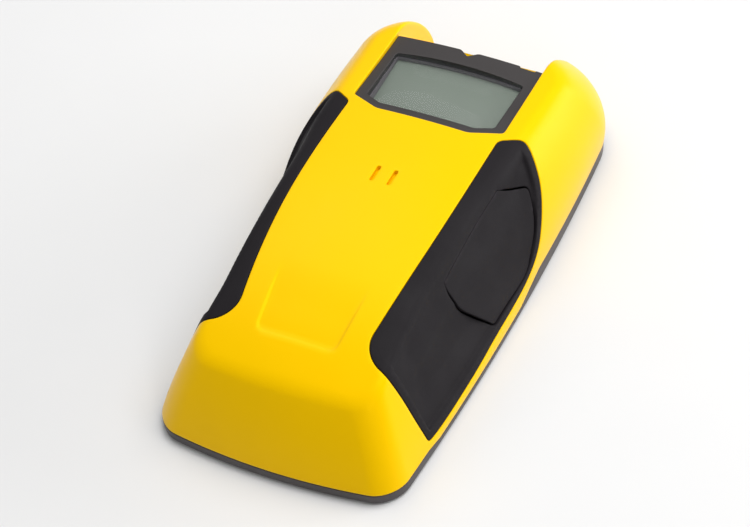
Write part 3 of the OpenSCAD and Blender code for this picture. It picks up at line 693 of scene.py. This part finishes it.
grip_ctrl = np.array(GRIP_EDGE)
grip_flat = locate(grip_ctrl[:, :3])
grip_loop_raw = rounded(grip_flat, grip_ctrl[:, 3], STEP)
GRIP_LOOP = ccw(grip_loop_raw)
is_top_side = (grip_loop_raw[:, 0] < 24.4) & (grip_loop_raw[:, 1] > -49) & (grip_loop_raw[:, 1] < 24.2)
creased = ~is_top_side
start_at = int(np.argmax(creased & ~np.roll(creased, 1)))
CREASE_LINE = np.roll(grip_loop_raw, -start_at, 0)[:int(creased.sum())]
flap_ctrl = np.array(FLAP_EDGE)
flap_flat = locate(flap_ctrl[:, :3])
SLIT = rounded(flap_flat, flap_ctrl[:, 3], 0.6, closed=False)
HINGE = even_open(np.array([SLIT[-1], SLIT[0]]), 0.6)
slit_s = np.concatenate([[0], np.cumsum(np.linalg.norm(np.diff(SLIT, axis=0), axis=1))])
slit_end = np.minimum(slit_s, slit_s[-1] - slit_s)


def hinge_distance(xy):
    a, b = HINGE[0], HINGE[-1]
    t = (b - a) / np.linalg.norm(b - a)
    g = xy - a
    return np.abs(g[:, 0] * t[1] - g[:, 1] * t[0])


def grip_depth(xy, d):
    y = xy[:, 1]
    c = distance(xy, CREASE_LINE, closed=False) - BORDER
    step = smooth((c + 0.3) / 0.6)
    scoop = soft_interp(d, SCOOP_D, SCOOP_DEPTH)
    upper = smooth((20 - y) / 20) * smooth((y + 57) / 14)
    lower = smooth((d + 1) / 8)
    scoop = scoop * (upper * (1 - lower) + lower)
    ramp_len = np.interp(y, [-57, -40, 0, 16, 27], [9.5, 8, 6, 5.5, 6.5])
    ramp = smooth(c / ramp_len) ** 0.8
    return step * (np.minimum(scoop, CREASE_DEPTH) + np.maximum(scoop - CREASE_DEPTH, 0) * ramp)


FLAP_LIFT = 0.72
FLAP_OUTER_DEPTH = 0.4


def flap_depth(xy, d):
    k = FLAP_LIFT * smooth(hinge_distance(xy) / 20)
    deep = grip_depth(xy, d)
    full = soft_interp(d, SCOOP_D, SCOOP_DEPTH)
    near_edge = np.minimum(deep, full)
    return near_edge * (1 - k) + FLAP_OUTER_DEPTH * k


def sheet(xy, edge, depth_of, thickness):
    p, n, _, d = place(xy)
    deep = depth_of(xy, d) + edge
    return p - n * deep[:, None], p - n * np.maximum(thickness, deep + 0.9)[:, None]


def crease_rows():
    """Rows of points beside the crease between the grip's border and its scoop."""
    rows = []
    for away in (-0.32, -0.1, 0.12, 0.36, 0.9):
        rows.append(even(offset(GRIP_LOOP, -(BORDER + away)), 0.7))
    return np.vstack(rows)


def mirrored(xy):
    return xy * np.array([-1.0, 1.0])


GRIP_SPACING = 0.95


def right_grip_and_flap():
    toward = SLIT.mean(0) - HINGE.mean(0)
    across = np.array([HINGE[0][1] - HINGE[-1][1], HINGE[-1][0] - HINGE[0][0]])
    across = across / np.linalg.norm(across) * np.sign(across @ toward)
    flap_slit = SLIT.copy()
    flap_slit[[0, -1]] += across * HINGE_GAP
    flap_loop = np.vstack([flap_slit, HINGE[1:-1] + across * HINGE_GAP])
    n = normals_2d(SLIT, closed=False)
    sign = -1 if (ccw(flap_loop) is flap_loop) else 1
    taper = np.maximum(smooth(slit_end / 5), HINGE_GAP / FLAP_GAP)
    wide = SLIT + n * (sign * FLAP_GAP * taper)[:, None]
    hole = np.vstack([wide, HINGE[1:-1]])
    r = np.concatenate([EDGE_R * smooth(slit_end / 4), np.zeros(len(HINGE) - 2)])
    if ccw(flap_loop) is flap_loop:
        flap_cc, r_flap, hole_cw, r_hole = flap_loop, r, hole[::-1], r[::-1]
    else:
        flap_cc, r_flap, hole_cw, r_hole = flap_loop[::-1], r[::-1], hole, r
    extra = crease_rows()
    g_xy, g_tri, g_edge, _ = fill([GRIP_LOOP, hole_cw], [EDGE_R, r_hole], GRIP_SPACING, extra)
    f_xy, f_tri, f_edge, _ = fill([flap_cc], [r_flap], GRIP_SPACING, extra)
    g_out, g_in = sheet(g_xy, g_edge, grip_depth, GRIP_T)
    f_out, f_in = sheet(f_xy, f_edge, flap_depth, GRIP_T + 0.2)
    at_hinge = hinge_distance(f_xy) < 2 * HINGE_GAP
    f_in[at_hinge] += unit(place(f_xy[at_hinge] + across)[0] - place(f_xy[at_hinge])[0]) * HINGE_GAP
    g_n, f_n = outer_normals([(g_out, g_tri), (f_out, f_tri)])
    grip = close_sheet("right_grip_rubber", g_out, g_in, g_tri, g_n)
    flap = close_sheet("button_flap", f_out, f_in, f_tri, f_n)
    finish_piece(grip, "grip_rubber", "root", "right_grip")
    finish_piece(flap, "grip_rubber", "scan_button", "scan_button")


def left_grip():
    xy, tri, edge, _ = fill([GRIP_LOOP], [EDGE_R], GRIP_SPACING, crease_rows())
    out, inner = sheet(xy, edge, grip_depth, GRIP_T)
    flip = np.array([-1.0, 1.0, 1.0])
    obj = close_sheet("left_grip_rubber", out * flip, inner * flip, tri[:, ::-1])
    finish_piece(obj, "grip_rubber", "root", "left_grip")


# ---------- yellow front cover ----------

BEZEL_EDGE = (
    (14.1, 25.3), (23.1, 29.1), (22.8, 57.3), (20.4, 57.3), (20.4, 56.6), (15.7, 56.6), (15.7, 57.3),
    (2.8, 57.3), (0, 55.1), (-2.8, 57.3), (-22.8, 57.3), (-23.1, 29.1), (-14.1, 25.3),
)
SLOT_X, SLOT_Y, SLOT_HALF = 2.6, 0.8, (0.6, 2.9)
RECESS = ((-11.8, -56), (11.8, -56), (13.6, -32), (-13.6, -32))
RECESS_DEPTH = 0.45
HORN_R, BEZEL_R, PART_R = 0.8, 0.35, 0.35
CHANNEL_TOP_Z, CHANNEL_FOOT_Z, CHANNEL_SLOPE, CHANNEL_T = 32.4, 5.15, 0.795, 1.8


def parting_z(y):
    return np.interp(y, [p[0] for p in PARTING], [p[1] for p in PARTING])


def parting_d(u, gap):
    lo, hi = np.full_like(u, 20.0), np.full_like(u, D_END)
    for _ in range(40):
        mid = (lo + hi) / 2
        p = skin_point(u, mid)
        above = p[:, 2] > parting_z(p[:, 1]) + gap
        lo, hi = np.where(above, mid, lo), np.where(above, hi, mid)
    return (lo + hi) / 2


def horn_u(d):
    lo, hi = np.full_like(d, 1.0), np.full_like(d, 2.5)
    for _ in range(45):
        mid = (lo + hi) / 2
        far = skin_point(mid, d)[:, 0] > HORN_X
        lo, hi = np.where(far, mid, lo), np.where(far, hi, mid)
    return (lo + hi) / 2


def horn_line():
    """Unrolled line of the right horn's inner edge, from the joint line up to the bezel."""
    d_low = 33.0
    for _ in range(8):
        d_low = parting_d(horn_u(np.array([d_low])), SEAM)[0]
    d = np.linspace(d_low, -ROUND, 60)
    line = flat_point(horn_u(d), d)
    return even_open(np.vstack([line, [[HORN_X, CHANNEL_Y]]]), 0.8), horn_u(np.array([d_low]))[0]


def yellow_depth(xy, _):
    """Depth of the shallow panel near the foot."""
    loop = rounded(np.array(RECESS), 2.5, 0.8)
    away = distance(xy, loop) * np.where(inside(xy, loop), 1, -1)
    fade = smooth((-34 - xy[:, 1]) / 14)
    return RECESS_DEPTH * smooth((away + 0.45) / 0.9) * fade


def recess_rows():
    loop = rounded(np.array(RECESS), 2.5, 0.8)
    rows = np.vstack([even(offset(loop, o), 0.75) for o in (0.55, 0.3, 0.0, -0.3, -0.55)])
    return rows[rows[:, 1] < -33]


def band_rows(spacing):
    """Staggered rows of points that follow the top edge and the walls."""
    res = []
    ds = np.concatenate([np.arange(-6, -3, 1.0), np.arange(-3, 3.01, 0.6), np.arange(4.0, 36, 1.1)])
    for k, d in enumerate(ds):
        u = np.linspace(0, 8, 3000, endpoint=False)
        p3 = skin_point(u, np.full_like(u, d))
        flat = flat_point(u, np.full_like(u, d))
        seg = np.linalg.norm(np.roll(p3, -1, 0) - p3, axis=1)
        s = np.concatenate([[0], np.cumsum(seg)])
        n = int(s[-1] / spacing)
        want = (np.arange(n) + 0.5 * (k % 2)) * s[-1] / n
        closed = np.vstack([flat, flat[:1]])
        res.append(np.stack([np.interp(want, s, closed[:, 0]), np.interp(want, s, closed[:, 1])], -1))
    return np.vstack(res)


def sound_baffle():
    """Thin membrane under the sound slots."""
    rings = []
    for inset, z in ((0.4, 0), (0, 0.12), (0, 0.4), (0.4, 0.5)):
        loop = rounded(np.array([(-4.6 + inset, -3.4 + inset), (4.6 - inset, -3.4 + inset),
                                 (4.6 - inset, 5.0 - inset), (-4.6 + inset, 5.0 - inset)]), 1.0, 0.5)
        loop = even_open(np.vstack([loop, loop[:1]]), 0.5)
        rings.append(np.column_stack([loop[:60], np.full(60, BODY_H - 2.05 + z)]))
    finish_piece(rings_solid("sound_baffle", rings), "yellow_shell", "root")


def slot_loop(x):
    w, h = SLOT_HALF
    c = np.array([[x - w, SLOT_Y - h], [x + w, SLOT_Y - h], [x + w, SLOT_Y + h], [x - w, SLOT_Y + h]])
    return rounded(c, 0.5, 0.25)


def front_shell():
    """Yellow skin with its openings, the horns' inner walls and the sloping face between them."""
    horn, u_right = horn_line()
    u_left = 2 + (3 - u_right)
    u = np.linspace(u_left, u_right + 8, 2400)
    parting = flat_point(u, parting_d(u, SEAM))
    parting = even_open(parting, 0.85)
    parting[0], parting[-1] = mirrored(horn[0]), horn[0]
    right = np.array([[HORN_X, CHANNEL_Y], [23.22, 29.0], [14.15, 25.15], [-14.15, 25.15], [-23.22, 29.0],
                      [-HORN_X, CHANNEL_Y]])
    bezel = rounded(right, [0, 0.9, 1.2, 1.2, 0.9, 0], 0.7, closed=False)
    left = mirrored(horn)[::-1]
    loop = np.vstack([parting[:-1], horn[:-1], bezel[:-1], left[:-1]])
    n_part, n_horn, n_bez = len(parting) - 1, len(horn) - 1, len(bezel) - 1
    radius = np.concatenate([
        np.full(n_part, PART_R), np.full(n_horn, HORN_R), np.full(n_bez, BEZEL_R), np.full(n_horn, HORN_R)])
    kernel = np.ones(7) / 7
    radius = np.convolve(np.concatenate([radius[-3:], radius, radius[:3]]), kernel, mode="valid")
    holes = [cw(offset(GRIP_LOOP, SEAM)), cw(mirrored(offset(GRIP_LOOP, SEAM)))]
    holes += [cw(slot_loop(SLOT_X)), cw(slot_loop(-SLOT_X))]
    spacing = 1.05
    lo, hi = loop.min(0), loop.max(0)
    hexed = hexes(lo, hi, spacing)
    _, hd = band_coords(hexed)
    band = band_rows(spacing)
    inner = np.vstack([hexed[hd < -6.6], band])
    extra = recess_rows()
    xy, tri, edge, rows = fill([loop] + holes, [radius, EDGE_R, EDGE_R, 0.22, 0.22], spacing, extra, inner)
    outer, deep = sheet(xy, edge, yellow_depth, SKIN_T)
    side = np.sign(xy[:, 0])
    near = np.abs(outer[:, 0]) - HORN_X
    fade = CHANNEL_T * (1 - np.clip(near, 0, 3) / 3)
    push = np.where((outer[:, 1] > CHANNEL_Y - 0.3) & (near < 3), fade, 0)
    deep[:, 0] += side * push
    first = rows[0]
    part = np.r_[n_part:n_part + n_horn + 1]
    right_ids = first[part]
    left_start = n_part + n_horn + n_bez
    left_ids = first[np.r_[left_start:left_start + n_horn, 0]]
    pts, qts, faces = [outer], [deep], [tri]
    count = len(outer)
    drop = CHANNEL_TOP_Z - CHANNEL_FOOT_Z

    def wall(ids, sign, top_last):
        nonlocal count
        edge_pts = outer[ids]
        s = np.concatenate([[0], np.cumsum(np.linalg.norm(np.diff(edge_pts, axis=0), axis=1))])
        k = 1 - s / s[-1] if top_last else s / s[-1]
        z = CHANNEL_TOP_Z - drop * k
        y = CHANNEL_Y + (CHANNEL_TOP_Z - z) * CHANNEL_SLOPE
        y = np.minimum(y, edge_pts[:, 1] - 0.05)
        foot = np.stack([np.full_like(y, sign * HORN_X), y, z], -1)
        steps = 4
        prev = ids
        for j in range(1, steps + 1):
            f = j / steps
            p = edge_pts * (1 - f) + foot * f
            p[:, 0] = sign * HORN_X
            q = p + np.array([sign * CHANNEL_T, 0, 0])
            if j == steps:
                q = q + np.array([0, -1.4, -1.1])
            now = np.arange(count, count + len(p))
            count += len(p)
            pts.append(p)
            qts.append(q)
            a, b, c, d2 = prev[1:], prev[:-1], now[:-1], now[1:]
            faces.append(np.stack([a, b, c], -1))
            faces.append(np.stack([a, c, d2], -1))
            prev = now
        return prev, foot

    right_foot, foot_r = wall(right_ids, 1, True)
    left_foot, foot_l = wall(left_ids, -1, False)
    left_foot, foot_l = left_foot[::-1], foot_l[::-1]
    cols = 26
    prev, n_floor = right_foot, unit(np.array([[0, 1.0, CHANNEL_SLOPE]]))
    for j in range(1, cols + 1):
        f = j / cols
        if j < cols:
            p = foot_r * (1 - f) + foot_l * f
            now = np.arange(count, count + len(p))
            count += len(p)
            pts.append(p)
            qts.append(p - n_floor * CHANNEL_T)
        else:
            now = left_foot
        a, b, c, d2 = prev[1:], prev[:-1], now[:-1], now[1:]
        faces.append(np.stack([a, b, c], -1))
        faces.append(np.stack([a, c, d2], -1))
        prev = now
    outer, deep, tri = np.vstack(pts), np.vstack(qts), np.vstack(faces)
    obj = close_sheet("front_shell", outer, deep, tri)
    finish_piece(obj, "yellow_shell", "root", "front_cover")


# ---------- display bezel ----------

WINDOW_HALF_W, WINDOW_FOOT_HALF_W = 19.8, 14.6
WINDOW_FOOT_Y, WINDOW_CORNER_Y, WINDOW_HEAD_Y, WINDOW_BOW = 28.0, 30.4, 51.1, 1.3
LENS_TILT = math.radians(3.6)
BEZEL_T = 1.6
SKIRT_Z = 31.12


def bezel_drop(y):
    return 0.6 + 0.65 * smooth((y - 24) / 32)


def window_loop():
    w = WINDOW_HALF_W
    head = [(w * (1 - k / 4), WINDOW_HEAD_Y - WINDOW_BOW * (1 - k / 4) ** 2) for k in range(9)]
    foot = [(-WINDOW_FOOT_HALF_W, WINDOW_FOOT_Y), (WINDOW_FOOT_HALF_W, WINDOW_FOOT_Y)]
    pts = foot + [(w, WINDOW_CORNER_Y)] + head + [(-w, WINDOW_CORNER_Y)]
    radii = [0.8, 0.8, 0.8, 0.7] + [3] * 7 + [0.7, 0.8]
    return rounded(np.array(pts), radii, 0.5)


def window_well():
    """Grey liner between the display and the window; its pale grey is painted reflection of the display on
    the well's walls.
    """
    loop = window_loop()
    n = len(loop)
    nrm = normals_2d(loop)
    foot_z = SKIRT_Z - 0.1
    profile = (
        (0.02, foot_z), (0.02, 33.4), (0.1, 33.55), (0.34, 33.55), (0.4, 33.4), (0.4, foot_z),
    )
    rings = []
    for inset, z in profile:
        ring = loop + nrm * inset
        tilt = (ring[:, 1] - WINDOW_FOOT_Y) * math.tan(LENS_TILT) * (0 if z < 32 else 1)
        rings.append(np.column_stack([ring, np.full(n, z) - tilt]))
    obj = rings_solid("window_well", rings, closed_tube=True)
    finish_piece(obj, "reflector_film", "root")
    dress(obj, "liner_painted_reflection")


def display_bezel():
    radii = [1.2, 0.9, 0.5, 0.2, 0.2, 0.2, 0.2, 0.4, 0.3, 0.4, 0.5, 0.9, 1.2]
    loop = ccw(rounded(np.array(BEZEL_EDGE), radii, 0.4))
    hole = cw(window_loop())
    r_out = np.where(loop[:, 1] > 56.9, 0.4, 0.25)
    xy, tri, edge, _ = fill([loop, hole], [r_out, 0.25], 0.8)
    x, y = xy[:, 0], xy[:, 1]
    z = top_z(x, y) - bezel_drop(y) - edge
    well = distance(xy, hole) < 1.1
    outer = np.stack([x, y, z], -1)
    inner = outer.copy()
    inner[:, 2] = np.where(well, SKIRT_Z, z + edge - BEZEL_T)
    obj = close_sheet("bezel_plate", outer, inner, tri)
    finish_piece(obj, "dark_bezel", "root", "display_bezel")


# ---------- base ----------

PLATE_T = 2.0
BAY = (-15.0, 15.0, -66.0, -9.2)
BAY_TOP_Z = 21.0
BAY_WALL_Y = -9.5
CASE_SCREWS = ((24, -62), (-24, -62), (31, 60), (-31, 60))
LABEL = ((-18, 10), (18, 10), (18, 34), (-18, 34))
LABEL_SUNK = 0.3
COUNTERBORE_R = 3
# Dish for a fingertip at the door's latch
DISH_Y, DISH_R, DISH_DEPTH = -67.5, 6, 1.1
# Width of the rounded foot of the side wall, thickness of that wall, and its top rounding
FOOT_ROUND, WALL_T, LIP_R = 1.0, 2.2, 0.25


def circle(cx, cy, r, step=0.5):
    n = max(12, int(2 * math.pi * r / step))
    a = np.arange(n) * 2 * math.pi / n
    return np.stack([cx + r * np.cos(a), cy + r * np.sin(a)], -1)


def base_shell():
    """Sensing face with its openings, and the low side wall round it."""
    u = np.linspace(0, 8, 2400, endpoint=False)
    line = even(base_line(u), 1.0)
    nrm = normals_2d(line)
    plate = line + nrm * FOOT_ROUND
    x0, x1, y0, y1 = BAY
    bay = rounded(np.array([(x0, y0), (x1, y0), (x1, y1), (x0, y1)]), 0.8, 0.7)
    holes = [cw(bay)] + [cw(circle(x, y, COUNTERBORE_R)) for x, y in CASE_SCREWS]
    label = rounded(np.array(LABEL, float), 1.0, 0.8)
    dish = circle(0, DISH_Y, DISH_R - 0.8, 0.7)
    dish = dish[dish[:, 1] < y0 - 0.6]
    extra = np.vstack([offset(label, 0.12), offset(label, -0.12)] + [dish + (0, -0.5), dish])
    xy, tri, edge, rows = fill([plate] + holes, [0.0, 0.25, 0.25, 0.25, 0.25, 0.25], 1.6, extra)
    away = distance(xy, label) * np.where(inside(xy, label), 1, -1)
    rho = np.hypot(xy[:, 0], xy[:, 1] - DISH_Y)
    z = edge + LABEL_SUNK * smooth((away + 0.12) / 0.24) + DISH_DEPTH * smooth((DISH_R - rho) / 1.4)
    outer = np.column_stack([xy, z])
    # The inner sheet keeps clear of the side wall
    gap = ((xy[:, None] - line[None]) ** 2).sum(-1)
    nearest = np.argmin(gap, axis=1)
    from_rim = np.sqrt(gap.min(1))
    shift = np.where(from_rim < 4, 1.5 - (from_rim - 1) / 2, 0)
    inner = np.column_stack([xy + nrm[nearest] * shift[:, None], np.full(len(xy), PLATE_T)])
    first = rows[0]
    pts, qts, faces = [outer], [inner], [tri[:, ::-1]]
    top = parting_z(line[:, 1])
    prev, count = first, len(outer)
    rings = []
    for a in np.radians((20, 40, 60, 80, 90)):
        rings.append((FOOT_ROUND * (1 - math.sin(a)), np.full(len(line), FOOT_ROUND * (1 - math.cos(a)))))
    n_low = len(rings)
    rings += [(0.0, FOOT_ROUND + (top - FOOT_ROUND - LIP_R) * f) for f in (0.5, 1.0)]
    for a in np.radians((30, 60, 90)):
        rings.append((LIP_R * (1 - math.cos(a)), top - LIP_R * (1 - math.sin(a))))
    for k, (inset, z0) in enumerate(rings):
        p = np.column_stack([line + nrm * inset, z0])
        inner_inset = WALL_T + 0.05 * max(0, n_low - 1 - k)
        rise = max(0, k + 1 - n_low) / (len(rings) - n_low)
        q = np.column_stack([line + nrm * inner_inset, PLATE_T + (top - PLATE_T) * rise])
        now = np.arange(count, count + len(line))
        count += len(line)
        pts.append(p)
        qts.append(q)
        a, b, c, d2 = prev, np.roll(prev, -1), np.roll(now, -1), now
        faces.append(np.stack([a, b, c], -1))
        faces.append(np.stack([a, c, d2], -1))
        prev = now
    obj = close_sheet("base_shell", np.vstack(pts), np.vstack(qts), np.vstack(faces))
    finish_piece(obj, "dark_cover", "root", "back_cover")


def battery_bay():
    """Walls and roof of the battery's bay, open towards the door."""
    x0, x1, y0, y1 = BAY[:3] + (BAY_WALL_Y,)
    n = 96

    def ring(grow, r, z):
        loop = rounded(np.array([(x0 - grow, y0 - grow), (x1 + grow, y0 - grow), (x1 + grow, y1 + grow),
                                 (x0 - grow, y1 + grow)], float), r, 0.5)
        loop = even_open(np.vstack([loop, loop[:1]]), np.linalg.norm(
            np.diff(np.vstack([loop, loop[:1]]), axis=0), axis=1).sum() / n)[:n]
        return np.column_stack([loop, np.full(n, z)])

    rings = [ring(-0.6, 0.8, BAY_TOP_Z), ring(-0.15, 0.8, BAY_TOP_Z - 0.15), ring(0, 0.8, BAY_TOP_Z - 0.6),
             ring(0, 0.8, PLATE_T - 0.05), ring(1.4, 1.6, PLATE_T - 0.05), ring(1.4, 1.6, BAY_TOP_Z + 0.7),
             ring(0.9, 1.6, BAY_TOP_Z + 1.3)]
    obj = rings_solid("battery_bay", rings)
    finish_piece(obj, "dark_cover", "root")


def lathe(profile, n=40, centre=(0, 0)):
    """Rings of a body of revolution about a vertical line, from (radius, z) pairs."""
    a = np.arange(n) * 2 * math.pi / n
    return [np.column_stack([centre[0] + r * np.cos(a), centre[1] + r * np.sin(a), np.full(n, z)])
            for r, z in profile]


def screw_bosses():
    for k, (x, y) in enumerate(CASE_SCREWS):
        rings = lathe([(1.6, 1.97), (1.6, 4.2), (3.9, 4.2), (4.2, 3.9), (4.2, 1.97)], 40, (x, y))
        obj = rings_solid("screw_boss_%d" % k, rings, closed_tube=True)
        finish_piece(obj, "dark_cover", "root")


right_grip_and_flap()
left_grip()
front_shell()
sound_baffle()
window_well()
display_bezel()
base_shell()
battery_bay()
screw_bosses()

# ---------- carried-over nodes ----------

# CAD nodes that get rounded edges: rounding, finish
SOFT_EDGES = {
    "battery_case": (0.9, "battery_can"),
    "battery_snap": (0.4, "black_moulding"),
    "battery_pad": (0.3, "foam"),
    "rating_label": (0.06, "label_film"),
    "case_screws": (0.12, "screw_steel"),
    "lcd_frame": (0.15, "black_moulding"),
    "lcd_glass": (0.08, "display_glass"),
    "display_window": (0.12, "clear_window"),
    "crystal": (0.3, "bright_can"),
    "link_housing": (0.15, "black_moulding"),
}
# CAD nodes that stay as they are: finish
CARRIED = {
    "lcd_reflector": "reflector_film", "contact_strips": "contact_rubber", "main_board": "circuit_board",
    "controller_chip": "chip_plastic", "capacitors": "capacitor_sleeve", "resistors": "chip_plastic",
    "switch_body": "black_moulding", "switch_plunger": "switch_button", "buzzer_case": "black_moulding",
    "buzzer_diaphragm": "gold_contact", "battery_door": "dark_cover",
    "sensor_board": "circuit_board", "sensor_plates": "copper_plate", "sensor_chip": "chip_plastic",
    "link_pins": "gold_contact", "battery_terminals": "battery_contact", "red_lead": "red_insulation",
    "black_lead": "black_insulation", "main_board_screws": "screw_steel",
    "sensor_board_screws": "screw_steel",
}
for name, (width, slot) in SOFT_EDGES.items():
    dress(softened(name, width, "root"), slot)
for name, slot in CARRIED.items():
    dress(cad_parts[name], slot)

# ---------- floor, light and camera ----------


def stage_floor():
    n, size = 24, 3.0
    c = np.linspace(-size / 2, size / 2, n)
    pts = [(x, y, -0.0002) for y in c for x in c]
    faces = [[r * n + k, r * n + k + 1, (r + 1) * n + k + 1, (r + 1) * n + k]
             for r in range(n - 1) for k in range(n - 1)]
    obj = mesh_object("floor", pts, faces, 1.0)
    mat = material("floor_pale", (228, 228, 228), 0.8, 0.02, 2.0, 0.004, 0.02)
    obj.data.materials.append(mat)


def softbox(name, place_at, look_at, size, energy):
    data = bpy.data.lights.new(name, "AREA")
    data.shape = "RECTANGLE"
    data.size, data.size_y = size
    data.energy = energy
    obj = bpy.data.objects.new(name, data)
    bpy.context.scene.collection.objects.link(obj)
    obj.location = place_at
    obj.rotation_euler = (Vector(look_at) - Vector(place_at)).to_track_quat("-Z", "Y").to_euler()
    return obj


WORLD_STRENGTH = 0.33
# Softboxes: name, place, size, power
SOFTBOXES = (
    ("key", (0.28, 0.2, 0.9), (0.7, 0.7), 7.2),
    ("side", (0.88, 0.6, 0.26), (0.9, 0.5), 5.6),
    ("over", (-0.35, 0.3, 0.8), (0.5, 0.5), 1.6),
    ("glint", (0.6, -0.62, 0.5), (0.1, 0.36), 0.7),
)


def lights():
    world = bpy.data.worlds.new("studio")
    bpy.context.scene.world = world
    world.use_nodes = True
    back = world.node_tree.nodes["Background"]
    back.inputs["Color"].default_value = (1, 1, 1, 1)
    back.inputs["Strength"].default_value = WORLD_STRENGTH
    for name, where, size, power in SOFTBOXES:
        softbox(name, where, (0, 0, 0.02), size, power)


CAM_AZ, CAM_EL, CAM_ROLL = (math.radians(a) for a in (31.888, 47.602, -8.444))
CAM_DIST = 0.87824
CAM_TARGET = Vector((-0.000439, -0.009662, 0.012876))
CAM_LENS = 151.73


def camera():
    data = bpy.data.cameras.new("camera")
    data.sensor_width = 36
    data.sensor_fit = "HORIZONTAL"
    data.lens = CAM_LENS
    data.clip_start, data.clip_end = 0.05, 20
    obj = bpy.data.objects.new("camera", data)
    bpy.context.scene.collection.objects.link(obj)
    ce = math.cos(CAM_EL)
    back = Vector((math.sin(CAM_AZ) * ce, -math.cos(CAM_AZ) * ce, math.sin(CAM_EL)))
    right = Vector((0, 0, 1)).cross(back).normalized()
    up = back.cross(right)
    c, s = math.cos(CAM_ROLL), math.sin(CAM_ROLL)
    x, y = right * c + up * s, up * c - right * s
    turn = Matrix((x, y, back)).transposed()
    obj.matrix_world = Matrix.Translation(CAM_TARGET + back * CAM_DIST) @ turn.to_4x4()
    bpy.context.scene.camera = obj


stage_floor()
lights()
camera()
bpy.context.scene.view_settings.view_transform = "Standard"

bpy.context.view_layer.update()
